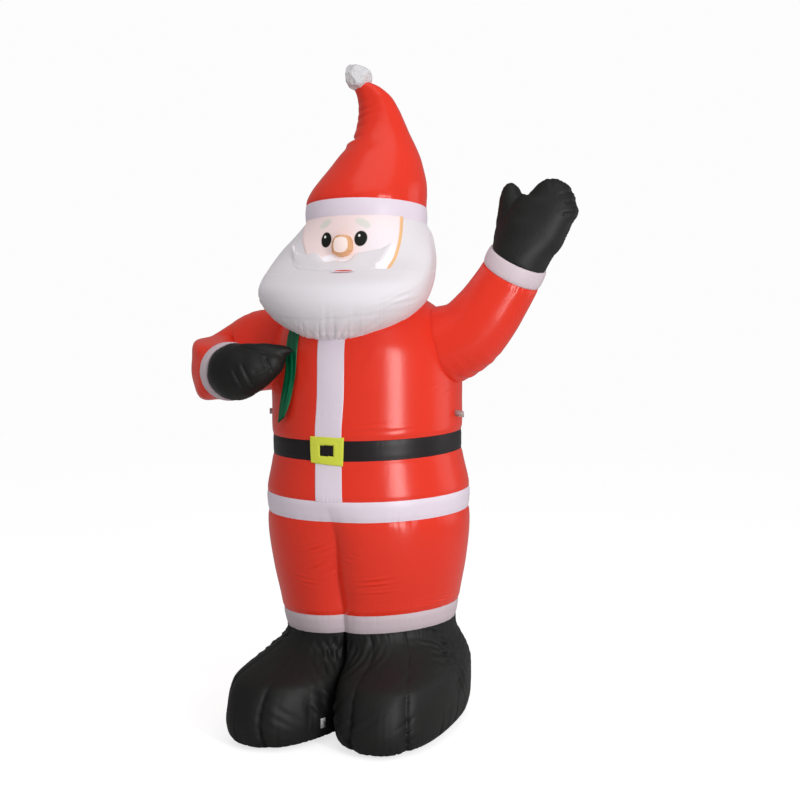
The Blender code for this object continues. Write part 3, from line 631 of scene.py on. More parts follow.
# Height and angle in degrees of the line that the white placket runs down.
PLACKET_LINE = ((300.0, 0.6), (347.0, 0.3), (404.0, -1.1), (440.0, -1.0), (500.0, 0.6), (600.0, 0.7))


def placket_angle(v):
    """The angle round the body that the white placket runs down."""
    return np.radians(through(PLACKET_LINE, v)[..., 0])


# The placket's width in metres, how far it stands off the body, and how far its edges turn in.
PLACKET_WIDTH = 0.102
PLACKET_LIFT = 0.6
PLACKET_EDGE = 1.8
PLACKET_TOP = 612.0


def front_strip(low, high, rows, seams, relief):
    """A length of the white placket, lying on the body with its edges turned in."""
    v = levels(low, high, rows)[:, None]
    u = np.linspace(-1, 1, 60)[None, :]
    radius = through(BODY_PROFILE, v)[..., 0] * PART
    a = placket_angle(v) + u * (PLACKET_WIDTH / 2 / radius)
    p = column(v, a, seams, relief)
    edge = np.clip((1 - np.abs(u)) / 0.06, 0, 1)
    lift = PLACKET_LIFT * (0.25 + 0.75 * np.sqrt(edge))
    lift = lift + 0.35 * np.sin(v / 37 + 2 * u) * edge
    n = normals(p, False)
    p = p + n * lift[..., None]
    side = p[:, :1] - n[:, :1] * PLACKET_EDGE
    other = p[:, -1:] - n[:, -1:] * PLACKET_EDGE
    return np.concatenate([side, p, other], axis=1)


def strip_folds(v, a):
    """The chest's folds, and upright ones of the placket's own."""
    return chest_relief(v, a) + patches(degrees_round(a), v, STRIP_FOLDS)


def make_placket():
    """The white strip down the front, above the belt and below it."""
    p = front_strip(BELT_HIGH, PLACKET_TOP, 110, (BELT_SEAM_HIGH,), strip_folds)
    finish_piece(grid_piece("placket_upper_cloth", placed(p), False, WHITE), "white_cloth", "placket_upper")
    p = front_strip(HEM_HIGH, BELT_LOW, 50, (HEM_SEAM_HIGH, BELT_SEAM_LOW), None)
    finish_piece(grid_piece("placket_lower_cloth", placed(p), False, WHITE), "white_cloth", "placket_lower")


# The buckle's half sizes and its opening's, in metres.
BUCKLE_HALF = (0.0640, 0.0490)
BUCKLE_HOLE_HALF = (0.0265, 0.0195)
BUCKLE_THICKNESS = 0.003
BUCKLE_ANGLE = math.radians(-1.9)


def make_buckle():
    """A slightly crooked frame of stiff cloth, stitched on the belt, with the belt in its opening."""
    s, t = np.meshgrid(np.linspace(-1, 1, 72), np.linspace(-1, 1, 60))
    wide, tall = (half / PART for half in BUCKLE_HALF)
    x = s * wide * (1 + 0.03 * t) - 0.72 * (1 - t * t) * (s < 0) * np.abs(s)
    z = t * tall * (1 + 0.035 * s) - 1.2 * s
    v = (BELT_LOW + BELT_HIGH) / 2 + z + 0.6
    a = BUCKLE_ANGLE + x / 146.0
    p = column(v, a)
    flat = through(BODY_PROFILE, np.full_like(v, 420.0))[..., 0]
    p[..., 0] = flat * np.sin(a)
    p[..., 1] = 4.0 - flat * np.cos(a)
    hole_x, hole_z = (half / PART for half in BUCKLE_HOLE_HALF)
    inside = np.maximum(np.abs(x - 0.5) / hole_x, np.abs(z) / hole_z)
    edge = np.minimum((1 - np.abs(s)) * wide, (1 - np.abs(t)) * tall)
    rim = np.clip(edge / 1.6, 0, 1) * np.clip((inside - 1.0) * 8.0 / 1.2, 0, 1)
    lift = 1.3 + 1.5 * np.sqrt(rim)
    lift = lift + 0.25 * np.sin(x * 1.9 + 1) * np.sin(z * 1.7) * rim
    p = p + normals(p, False) * lift[..., None]
    obj = grid_piece("buckle_cloth", placed(p), False, YELLOW)
    work = bmesh.new()
    work.from_mesh(obj.data)
    inside = inside.ravel()
    work.verts.ensure_lookup_table()
    gone = [f for f in work.faces if all(inside[w.index] < 1.0 for w in f.verts)]
    bmesh.ops.delete(work, geom=gone, context="FACES")
    work.to_mesh(obj.data)
    work.free()
    solid = obj.modifiers.new("thickness", "SOLIDIFY")
    solid.thickness = BUCKLE_THICKNESS
    solid.offset = -1
    finish_piece(obj, "buckle_cloth", "belt_buckle")


def path_frames(path, keys, side):
    """Centres with the section's sizes, and the two directions across, at shares of a path's length."""
    rows = np.array(path, float)
    steps = np.linalg.norm(np.diff(rows[:, :3], axis=0), axis=1)
    stops = np.concatenate([[0], np.cumsum(steps)])
    table = np.column_stack([stops, rows])
    end = stops[-1]
    here = through(table, keys * end)
    tip = through(table, np.minimum(keys * end + 0.01, end))
    tail = through(table, np.maximum(keys * end - 0.01, 0))
    ahead = unit((tip - tail)[..., :3])
    across = unit(side - ahead * (ahead @ side)[..., None])
    return here, across, np.cross(ahead, across)


def tube(path, keys, angles, side):
    """Points of a tube along a path; keys and angles are grids of one shape."""
    here, across, other = path_frames(path, keys, side)
    half, thick = here[..., 3], here[..., -1]
    out = across * (half * np.cos(angles))[..., None] + other * (thick * np.sin(angles))[..., None]
    return here[..., :3] + out


# The jacket's middle at the armholes, and how far the sleeves stand off it.
ARMHOLE_MIDDLE = 1.5
ARMHOLE_GAP = 0.6


def armhole(path, side, angles):
    """How far along the sleeve each of its lengthwise lines leaves the jacket."""
    keys = np.linspace(0, 0.6, 300)
    grid_k, grid_a = np.meshgrid(keys, angles, indexing="ij")
    p = tube(path, grid_k, grid_a, side)
    theta = np.arctan2(p[..., 0], -(p[..., 1] - ARMHOLE_MIDDLE))
    inside = column(p[..., 2], theta)
    reach = np.hypot(inside[..., 0], inside[..., 1] - ARMHOLE_MIDDLE)
    out = np.hypot(p[..., 0], p[..., 1] - ARMHOLE_MIDDLE) - reach + ARMHOLE_GAP
    last = np.where(out < 0, np.arange(len(keys))[:, None], 0).max(axis=0)
    start = keys[last]
    for _ in range(6):
        start = (np.roll(start, 1) + 2 * start + np.roll(start, -1)) / 4
    return start


# The raised wrist leans towards the view, so that its cuff dips in front.
WRIST = np.array(LEFT_SLEEVE_PATH[-1][:3])
WRIST_WAY = np.array([0.434, 0.0, 0.901])
WRIST_DIP = 10.0


def dipped(p):
    """Points round the raised wrist, lowered in front and lifted behind."""
    away = p - WRIST
    along = away @ WRIST_WAY
    facing = unit(TOWARDS_VIEW - (TOWARDS_VIEW @ WRIST_WAY) * WRIST_WAY)
    share = np.clip((away @ facing) / 45.0, -1.1, 1.1)
    above = np.clip(1 - np.maximum(along, 0) / 45.0, 0, 1)
    below = np.clip(1 + np.minimum(along + 28, 0) / 38.0, 0, 1)
    fade = above * below
    fade = fade * fade * (3 - 2 * fade)
    return p - WRIST_WAY * (WRIST_DIP * share * fade)[..., None]


# The bent elbow is a box-like corner: its straight outer edge, and its two corners as angle and stretch.
ELBOW_EDGE = -273.0
ELBOW_CENTRE = (-222.0, 546.5)
ELBOW_CORNERS = ((146.0, 0.22), (237.0, 0.16))


def squared_elbow(p, to_cuff):
    """The bent elbow is cut square, so its outer edge hangs straight."""
    along = p @ ACROSS_VIEW
    away = np.stack([along - ELBOW_CENTRE[0], p[..., 2] - ELBOW_CENTRE[1]], axis=-1)
    far = np.linalg.norm(away, axis=-1)
    way = np.degrees(np.arctan2(away[..., 1], away[..., 0])) % 360
    stretch = sum(size * np.exp(-(((way - turn) / 17) ** 2)) for turn, size in ELBOW_CORNERS)
    stretch = stretch * np.clip((far - 15) / 20, 0, 1) * np.clip(to_cuff / 16, 0, 1)
    p = p + (away[..., :1] * stretch[..., None]) * ACROSS_VIEW
    p[..., 2] += away[..., 1] * stretch
    along = p @ ACROSS_VIEW
    pushed = ELBOW_EDGE + 2.0 * np.logaddexp(0, (along - ELBOW_EDGE) / 2.0)
    return p + ((pushed - along)[..., None]) * ACROSS_VIEW


# A sleeve's lengthwise lines and puckers, and its cuff's width in metres.
SLEEVE_SIDES = 240
SLEEVE_CREASES = 26
CUFF_WIDTH = 0.060


def sleeve(name, path, side, cuff_node, relief, seed):
    """A sleeve from its armhole to its cuff, and the white cuff."""
    angles = np.linspace(0, 2 * math.pi, SLEEVE_SIDES, endpoint=False)
    start = armhole(path, side, angles)
    rows = np.array(path, float)
    length = np.linalg.norm(np.diff(rows[:, :3], axis=0), axis=1).sum()
    cuff = 1 - CUFF_WIDTH / PART / length
    t = levels(0, 1, 130)[:, None]
    keys = start[None, :] * (1 - t) + cuff * t
    grid_a = np.broadcast_to(angles[None, :], keys.shape)
    p = tube(path, keys, grid_a, side)
    n = outward(p, 60)
    from_hole = (keys - start[None, :]) * length
    to_cuff = (cuff - keys) * length
    dent = -1.4 * np.exp(-((from_hole / 4.5) ** 2)) - 0.9 * np.exp(-((to_cuff / 3.5) ** 2))
    dent = dent + 1.6 * np.exp(-from_hole / 9.0) * creases(grid_a, SLEEVE_CREASES, seed)
    dent = dent + 1.0 * np.exp(-to_cuff / 7.0) * creases(grid_a, SLEEVE_CREASES, seed + 1)
    dent = dent + relief(keys, grid_a, length)
    p = p + n * dent[..., None]
    if name == "sleeve_right":
        p = squared_elbow(p, to_cuff)
    first = p[:1] - n[:1] * 4 - unit(p[1:2] - p[:1]) * 4
    last = p[-1:] - n[-1:] * 4
    p = np.concatenate([first, p, last])
    if name == "sleeve_left":
        p = dipped(p)
    obj = grid_piece(name + "_cloth", placed(p), True, RED, flip=faces_in(p))
    finish_piece(obj, "red_cloth", name)

    keys = np.linspace(cuff, 1.0, 24)[:, None] * np.ones((1, SLEEVE_SIDES))
    p = tube(path, keys, np.broadcast_to(angles[None, :], keys.shape), side)
    n = outward(p, 10)
    t = (keys - cuff) / (1 - cuff)
    dent = 0.5 + 0.9 * np.sin(math.pi * t) - 0.9 * np.exp(-((t / 0.10) ** 2))
    dent = dent - 0.6 * np.exp(-(((1 - t) / 0.08) ** 2))
    gather = np.exp(-t * 5) + np.exp(-(1 - t) * 5)
    dent = dent + 0.5 * gather * creases(angles[None, :], SLEEVE_CREASES, seed + 2)
    p = p + n * dent[..., None]
    p = np.concatenate([p[:1] - n[:1] * 4, p, p[-1:] - n[-1:] * 5])
    if name == "sleeve_left":
        p = dipped(p)
    obj = grid_piece(name + "_cuff_band", placed(p), True, PAINTED_SHADE_CUFF, flip=faces_in(p))
    finish_piece(obj, "white_cloth", cuff_node)


# Patches of folds on the sleeves, by degrees round the arm and by length along it.
LEFT_SLEEVE_FOLDS = (
    (1.3, (0, 92), (40, 22), 0.1, 14.0, 51),
    (1.2, (180, 118), (34, 20), 0.0, 12.0, 52),
    (0.6, (60, 60), (30, 14), 0.5, 10.0, 53),
)
RIGHT_SLEEVE_FOLDS = (
    (1.6, (0, 110), (24, 14), 0.1, 12.0, 61),
    (1.8, (-90, 190), (45, 22), 0.0, 13.0, 62),
    (1.8, (90, 190), (45, 22), 0.0, 13.0, 63),
    (1.0, (20, 70), (25, 12), 0.6, 9.0, 64),
)


def left_sleeve_relief(keys, angles, length):
    """Folds under the raised arm and at the top of the shoulder."""
    return patches(degrees_round(angles - math.radians(95)), keys * length, LEFT_SLEEVE_FOLDS)


def right_sleeve_relief(keys, angles, length):
    """Folds on the inner side of the bent elbow and short creases on its top."""
    return patches(degrees_round(angles), keys * length, RIGHT_SLEEVE_FOLDS)


def closed_tube(name, path, side, rows, cols):
    """A tube along a path, closed at both ends."""
    angles = np.linspace(0, 2 * math.pi, cols, endpoint=False)
    keys, angles = np.meshgrid(levels(0, 1, rows, 0.3), angles, indexing="ij")
    p = tube(path, keys, angles, side)
    return grid_piece(name, placed(p), True, BLACK, caps=(True, True), flip=faces_in(p))


def apply_modifiers(obj):
    """The object takes the mesh that its modifiers make."""
    graph = bpy.context.evaluated_depsgraph_get()
    mesh = bpy.data.meshes.new_from_object(obj.evaluated_get(graph))
    obj.modifiers.clear()
    old = obj.data
    obj.data = mesh
    bpy.data.meshes.remove(old)


def mesh_arrays(obj):
    """The places and the outward directions of a mesh's corners."""
    count = len(obj.data.vertices)
    co = np.empty(count * 3)
    obj.data.vertices.foreach_get("co", co)
    no = np.empty(count * 3)
    obj.data.vertices.foreach_get("normal", no)
    return co.reshape(-1, 3), no.reshape(-1, 3)


# Sharp creases on the mittens: both ends in metres, across the view and up, then how deep.
MITTEN_CREASES = (
    (0.745, 1.866, 0.690, 1.854, 0.0050),
    (0.722, 1.940, 0.680, 1.925, 0.0048),
    (0.730, 1.904, 0.698, 1.896, 0.0036),
    (0.650, 1.987, 0.647, 1.955, 0.0036),
    (0.466, 1.862, 0.492, 1.886, 0.0036),
    (-0.463, 1.304, -0.429, 1.236, 0.0050),
    (-0.432, 1.322, -0.401, 1.258, 0.0055),
    (-0.352, 1.350, -0.336, 1.310, 0.0045),
    (-0.389, 1.304, -0.355, 1.319, 0.0035),
    (-0.500, 1.277, -0.452, 1.255, 0.0035),
    (-0.439, 1.392, -0.330, 1.362, 0.0040),
)


def sharp_creases(co, no):
    """Narrow valleys with a soft swelling beside them, on the side that faces forwards."""
    near = co - AXIS
    flat = np.stack([near @ ACROSS_VIEW, near[:, 2]], axis=-1)
    total = np.zeros(len(co))
    for x0, z0, x1, z1, deep in MITTEN_CREASES:
        start, step = np.array([x0, z0]), np.array([x1 - x0, z1 - z0])
        share = np.clip((flat - start) @ step / (step @ step), 0, 1)
        gap = flat - start - share[:, None] * step
        beside = (gap[:, 0] * step[1] - gap[:, 1] * step[0]) / np.linalg.norm(step)
        dist = np.linalg.norm(gap, axis=1)
        total -= deep * np.exp(-((dist / 0.0055) ** 2))
        total += 0.7 * deep * np.exp(-(((beside - 0.011) / 0.009) ** 2)) * np.exp(-((dist / 0.02) ** 2))
    return total * np.sqrt(np.clip(no @ TOWARDS_VIEW, 0, 1))


# Where the waving mitten is pinched, in metres across the view and up, how far, and how widely.
PINCH_PLACE = (0.728, 1.864)
PINCH_PUSH, PINCH_SPREAD = 0.015, 0.024


def pinched(co):
    """The waving mitten's rim drawn out to a point at the root of its little finger."""
    near = co - AXIS
    dist = np.hypot(near @ ACROSS_VIEW - PINCH_PLACE[0], near[:, 2] - PINCH_PLACE[1])
    push = PINCH_PUSH * np.exp(-((dist / PINCH_SPREAD) ** 2))
    return co + push[:, None] * np.array([math.cos(VIEW), math.sin(VIEW), -0.1])


# The fineness of a mitten's skin, and its swellings' lengths, in metres.
SKIN_STEP = 0.0048
SWELLINGS = (0.15, 0.11, 0.08)


def mitten(node, palm, thumb, side, flat_way, seed):
    """Palm and thumb as one skin of two panels, gathered along the seam round its edge."""
    name = node + "_cloth"
    wrist = placed(np.array(palm[0][:3]))
    obj = closed_tube(name, palm, side, 60, 96)
    lobe = closed_tube(name + "_lobe", thumb, side, 40, 64)
    work = bmesh.new()
    work.from_mesh(obj.data)
    work.from_mesh(lobe.data)
    work.to_mesh(obj.data)
    work.free()
    bpy.data.objects.remove(lobe)
    remesh = obj.modifiers.new("skin", "REMESH")
    remesh.mode = "VOXEL"
    remesh.voxel_size = SKIN_STEP
    soft = obj.modifiers.new("soft", "SMOOTH")
    soft.factor = 0.6
    soft.iterations = 6
    apply_modifiers(obj)
    co, no = mesh_arrays(obj)
    centre = co.mean(axis=0)
    flat_way = unit(flat_way)
    up = unit(np.cross(flat_way, side))
    across = np.cross(up, flat_way)
    around = np.arctan2((co - centre) @ up, (co - centre) @ across)
    round_wrist = np.arctan2((co - wrist) @ up, (co - wrist) @ across)
    facing = np.abs(no @ flat_way)
    edge = np.exp(-((facing / 0.42) ** 2))
    from_wrist = np.linalg.norm(co - wrist, axis=1)
    calm = np.clip((from_wrist - 0.10) / 0.05, 0, 1)
    dent = 0.0026 * edge * creases(around, 40, seed, 0.42) * calm
    dent += 0.0010 * np.exp(-((facing / 0.10) ** 2)) * calm
    chance = np.random.default_rng(seed)
    near = np.clip((from_wrist - 0.04) / 0.05, 0, 1)
    for length in SWELLINGS:
        way = unit(chance.normal(size=3)) * 2 * math.pi / length
        bend = unit(chance.normal(size=3)) * 25
        dent += 0.0009 * np.cos(co @ way + 1.5 * np.sin(co @ bend)) * near
    gather = np.clip(1 - from_wrist / 0.16, 0, 1)
    dent += 0.0018 * creases(round_wrist, 30, seed + 5, 0.5) * gather
    dent += sharp_creases(co, no)
    co = co + no * dent[:, None]
    if node == "mitten_left":
        co = pinched(placed(dipped((co - AXIS) / PART)))
    obj.data.vertices.foreach_set("co", co.ravel())
    obj.data.update()
    obj.data.shade_smooth()
    obj.data.materials.clear()
    obj.data.materials.append(BLACK)
    finish_piece(obj, "black_cloth", node)


def make_arms():
    """Both sleeves with their cuffs, and both mittens."""
    sleeve("sleeve_left", LEFT_SLEEVE_PATH, FRONT, "sleeve_cuff_left", left_sleeve_relief, 71)
    sleeve("sleeve_right", RIGHT_SLEEVE_PATH, UP, "sleeve_cuff_right", right_sleeve_relief, 81)
    mitten("mitten_left", LEFT_PALM, LEFT_THUMB, np.array([1, 0, -0.4]), np.array([0.0, 1, 0]), 91)
    mitten("mitten_right", RIGHT_PALM, RIGHT_THUMB, UP, np.array([0.3, -0.95, 0.1]), 95)


def leg_outline(centre):
    """Half of the leg's section at the boot's top, as reach by angle about a centre."""
    a = np.linspace(0, math.pi, 400)
    p = column(np.full_like(a, BOOT_TOP), a)
    x = np.concatenate([p[:, 0], np.zeros(60)])
    y = np.concatenate([p[:, 1], np.linspace(p[-1, 1], p[0, 1], 60)])
    way = np.arctan2(x - centre[0], -(y - centre[1]))
    reach = np.hypot(x - centre[0], y - centre[1])
    order = np.argsort(way)
    way, reach = way[order], reach[order]
    return np.concatenate([way - 2 * math.pi, way, way + 2 * math.pi]), np.tile(reach, 3)


# How many puckers a seam of the toe panel has.
PANEL_PUCKERS = 22


def boot_panel(reach, degrees, tall, seed):
    """The toe panel's two seams, sunk and puckered, with the side panels swelling beside them."""
    inner = -10.5 + 2.0 * np.sin(tall / 30.0)
    outer = 21.0 - 5.0 * (tall / BOOT_TOP) ** 2
    for line, turn in ((inner, 1), (outer, -1)):
        away = (degrees - line) * 2.6
        fade = np.clip(1.15 - tall / 170, 0, 1)
        reach = reach - fade * (3.6 * np.exp(-((away / 9.0) ** 2)) + 3.8 * np.exp(-((away / 2.2) ** 2)))
        ticks = creases((tall + 0.5 * away * turn) / 24.0, PANEL_PUCKERS, seed + turn, 0.5)
        reach = reach + 4.0 * np.exp(-np.abs(away) / 7.0) * ticks * fade
    return reach


# Folds on a boot: outer ankle, instep, inner crease, heel, inner toe and outer side.
BOOT_FOLDS = (
    (3.2, (66, 120), (34, 17), -0.42, 8.5, 4),
    (1.2, (30, 128), (14, 13), -0.42, 7.5, 5),
    (2.6, (-30, 116), (20, 26), 1.3, 7.5, 6),
    (1.8, (150, 110), (30, 20), 0.4, 11.0, 7),
    (3.0, (-34, 58), (16, 28), 1.25, 7.5, 8),
    (1.6, (98, 70), (26, 22), -0.9, 12.0, 10),
)
# The gap that keeps each boot on its own side of the middle.
BOOT_GAP = 0.25


def boot(name, seed):
    """A boot: an oval foot that turns into half of the legs' outline at its top."""
    side, step, inward, splay = BOOT_STANCE[name]
    v = np.concatenate([np.linspace(0, 1, 26)[:-1] ** 1.5 * 24, np.linspace(24, BOOT_TOP, 96)])
    a = np.linspace(-math.pi, math.pi, 380, endpoint=False)
    profile = through(BOOT_PROFILE, v)
    blend = np.clip((v - BOOT_BLEND_FROM) / (BOOT_TOP - BOOT_BLEND_FROM), 0, 1)
    blend = blend * blend * (3 - 2 * blend)
    cx, cy = profile[:, 0] - inward * (1 - blend), profile[:, 1] - step * (1 - blend)
    turned = a[None, :] - splay
    n = BOOT_SQUARENESS
    sine, cosine = np.abs(np.sin(turned)), np.abs(np.cos(turned))
    foot = ((sine / profile[:, 2:3]) ** n + (cosine / profile[:, 3:4]) ** n) ** (-1 / n)
    leg = np.empty_like(foot)
    for k in range(len(v)):
        way, reach = leg_outline((cx[k], cy[k]))
        leg[k] = np.interp(a, way, reach)
    reach = foot * (1 - blend[:, None]) + leg * blend[:, None]
    tall = v[:, None]
    reach = boot_panel(reach, degrees_round(turned), tall, seed)
    # Gathers along the sole's seam, the longer ones at the toe and the heel.
    long_ones = np.clip(16 + 12 * ripple(a[None, :], 15, seed + 9), 6, 42)
    gathers = creases(a[None, :], 64, seed + 2, 0.40)
    reach = reach + 4.4 * np.exp(-np.maximum(tall - 3, 0) / long_ones) * gathers
    ankle = np.exp(-(((tall - 148) / 17) ** 2))
    reach = reach + 1.2 * ankle * creases(a[None, :], 46, seed + 3, 0.45)
    rows = [(*row[:-1], seed + row[-1]) for row in BOOT_FOLDS]
    reach = reach + patches(np.degrees(a)[None, :], tall, rows)
    x = cx[:, None] + reach * np.sin(a)[None, :]
    x = BOOT_GAP + 2.0 * np.logaddexp(0, (x - BOOT_GAP) / 2.0)
    y = cy[:, None] - reach * np.cos(a)[None, :]
    slant = TILT_PROFILE[0][1] * np.clip((tall - 70) / (BOOT_TOP - 70), 0, 1) ** 1.5
    z = tall + slant * side * x
    p = np.stack([side * x, y, z], axis=-1)
    last = p[-1:] - unit((p[-1:] - p[-1].mean(axis=0)) * FLAT) * 4
    p = np.concatenate([p, last])
    obj = grid_piece(name + "_cloth", placed(p), True, BLACK, caps=(True, False), flip=faces_in(p))
    finish_piece(obj, "black_cloth", name)


def head_surface(v, a):
    """The head's surface, hair and beard, at heights and angles."""
    profile = through(HEAD_PROFILE, v)
    middle, width, front, back = (profile[..., k] for k in range(4))
    reach = np.where(np.cos(a) > 0, front, back)
    return np.stack([width * np.sin(a), middle - reach * np.cos(a), v + 0 * a], axis=-1)


# The angle of the head's side seams, and the folds beside them.
SIDE_SEAM = math.radians(98)
BEARD_FOLDS = ((0.8, (62, 636), (16, 12), 0.6, 10.0, 106), (0.8, (-70, 640), (16, 12), -0.6, 10.0, 107))


def make_beard():
    """The beard with the hair round the head, pleated along its lower edge."""
    a = np.linspace(-math.pi, math.pi, 430, endpoint=False)[None, :]
    t = np.linspace(0, 1, 155)
    v = (BEARD_LOW + (HEAD_TOP - BEARD_LOW) * (0.35 * t + 0.65 * t ** 1.5))[:, None]
    v, a = np.broadcast_arrays(v, a)
    p = head_surface(v, a)
    p[..., 0] -= 3.0 * np.clip(p[..., 0] / 122.0, 0, 1.1) ** 6
    n = normals(p, True)
    turn = np.degrees(a)
    front = np.exp(-((turn / 80) ** 4))
    # Upright pleats along the lower front, each of its own length.
    across = p @ ACROSS_VIEW / 150.0
    reach = np.clip(23 + 18 * ripple(across, 19, 101), 9, 46)
    tall = np.clip((v - 578) / reach, 0, 9)
    pleats = creases(across, 60, 102, 0.42)
    dent = 2.3 * np.exp(-(tall ** 2.2)) * pleats * (0.15 + 0.85 * front)
    line = 606 + 0.0012 * p[..., 0] ** 2
    dent -= 0.5 * np.exp(-(((v - line) / 2.5) ** 2)) * front
    dent += 0.6 * np.exp(-(((v - 592) / 26) ** 2)) * ripple(a, 22, 103) * front
    seam = 684 - 4 * np.cos(a) + 2 * np.sin(3 * a)
    dent -= 0.4 * np.exp(-(((v - seam) / 2.2) ** 2))
    dent += 0.4 * np.exp(-np.abs(v - seam) / 7) * creases(a, 60, 104)
    for side_seam in (SIDE_SEAM, -SIDE_SEAM):
        away = np.abs(wrapped(a - side_seam)) * 125
        dent -= 0.9 * np.exp(-((away / 2.5) ** 2))
        dent += 0.9 * np.exp(-away / 7) * creases(v / 30.0, 22, 105)
    dent += patches(turn, v, BEARD_FOLDS)
    p = p + n * dent[..., None]
    obj = grid_piece("beard_cloth", placed(p), True, BEARD, caps=(True, True), flip=faces_in(p))
    finish_piece(obj, "white_cloth", "beard")


def head_front(x, v):
    """Points on the head's front at given x and height."""
    profile = through(HEAD_PROFILE, v)
    middle, width, front = profile[..., 0], profile[..., 1], profile[..., 2]
    s = np.clip(x / width, -0.985, 0.985)
    return np.stack([x, middle - front * np.sqrt(1 - s * s), v], axis=-1)


OVAL_PLACE = ("Centre X", "Centre Y", "Half Width", "Half Height")


def mask_group():
    """A soft-edged oval mask at a place on the cloth."""
    group = bpy.data.node_groups.new("oval_mask", "ShaderNodeTree")
    group_socket(group, "Vector", "INPUT", "NodeSocketVector")
    for name, value in zip((*OVAL_PLACE, "Tilt", "Softness"), (0.0, 0.0, 0.02, 0.02, 0.0, 0.08)):
        group_socket(group, name, "INPUT", "NodeSocketFloat", value)
    group_socket(group, "Mask", "OUTPUT", "NodeSocketFloat")
    add, link = group.nodes.new, group.links.new
    start, end = add("NodeGroupInput"), add("NodeGroupOutput")
    split = add("ShaderNodeSeparateXYZ")
    link(start.outputs["Vector"], split.inputs[0])

    def math_node(operation, first, second=None):
        node = add("ShaderNodeMath")
        node.operation = operation
        for socket, value in zip(node.inputs, (first, second)):
            if value is None:
                continue
            if isinstance(value, (int, float)):
                socket.default_value = value
            else:
                link(value, socket)
        return node.outputs[0]

    dx = math_node("SUBTRACT", split.outputs["X"], start.outputs["Centre X"])
    dy = math_node("SUBTRACT", split.outputs["Y"], start.outputs["Centre Y"])
    cosine = math_node("COSINE", start.outputs["Tilt"])
    sine = math_node("SINE", start.outputs["Tilt"])
    across = math_node("ADD", math_node("MULTIPLY", dx, cosine), math_node("MULTIPLY", dy, sine))
    up = math_node("SUBTRACT", math_node("MULTIPLY", dy, cosine), math_node("MULTIPLY", dx, sine))
    across = math_node("DIVIDE", across, start.outputs["Half Width"])
    up = math_node("DIVIDE", up, start.outputs["Half Height"])
    square = math_node("ADD", math_node("MULTIPLY", across, across), math_node("MULTIPLY", up, up))
    far = math_node("SQRT", square)
    step = add("ShaderNodeMapRange")
    step.interpolation_type = "SMOOTHSTEP"
    link(far, step.inputs["Value"])
    link(math_node("SUBTRACT", 1.0, start.outputs["Softness"]), step.inputs["From Min"])
    link(math_node("ADD", 1.0, start.outputs["Softness"]), step.inputs["From Max"])
    step.inputs["To Min"].default_value = 1.0
    step.inputs["To Max"].default_value = 0.0
    link(step.outputs[0], end.inputs["Mask"])
    return group


OVAL = mask_group()


def oval_mask(tree, place, centre, half, tilt=0.0, soft=0.08):
    """An oval mask in a material; centre and half sizes in thousandths of the height."""
    node = tree.nodes.new("ShaderNodeGroup")
    node.node_tree = OVAL
    tree.links.new(place.outputs["UV"], node.inputs["Vector"])
    for name, value in zip(OVAL_PLACE, (*centre, *half)):
        node.inputs[name].default_value = value * PART
    node.inputs["Tilt"].default_value = tilt
    node.inputs["Softness"].default_value = soft
    return node.outputs["Mask"]


def cloth_coordinates(tree, layer="cloth"):
    """The node that reads places on the flat cloth."""
    place = tree.nodes.new("ShaderNodeUVMap")
    place.uv_map = layer
    return place


FACE_LIGHT, FACE_DARK = (0.86, 0.70, 0.69), (0.83, 0.66, 0.66)
BORDER = (0.80, 0.46, 0.22)
# Where the border starts and is full, by place across the panel, and its strength, on each side.
BORDER_EDGES = ((0.945, 0.958, 1.0), (-0.94, -0.97, 0.15))
EYE_BLACK, EYE_RIM, EYE_GLINT = (0.006, 0.008, 0.006), (0.62, 0.52, 0.52), (0.86, 0.86, 0.86)
# Each eye's middle across the face and half width, then what both share.
EYES = ((-25.2, 8.4), (28.7, 9.5))
EYE_HEIGHT = 727.8
EYE_HALF_HEIGHT = 11.4
GLINT_SHIFT, GLINT_HALF = (-2.4, 4.6), (1.6, 1.9)
# Whiter where the light inside is near: the cheek, the crescent beside the moustache, under the nose.
# Colour, centre, half sizes, tilt, softness and strength, as for the brows.
FACE_GLOWS = (
    ((0.86, 0.80, 0.85), (56, 722), (34, 34), 0, 0.8, 0.8),
    ((0.95, 0.90, 0.95), (74, 692), (17, 22), 0.2, 0.5, 1.0),
    ((0.94, 0.90, 0.97), (-6, 698), (26, 6.5), 0, 0.3, 1.0),
)
FACE_BROWS = (
    ((0.56, 0.60, 0.53), (-27.4, 751.8), (11.0, 4.9), 0.50, 0.22, 0.62),
    ((0.60, 0.64, 0.56), (30.3, 751.0), (12.0, 5.4), -0.50, 0.22, 0.62),
)


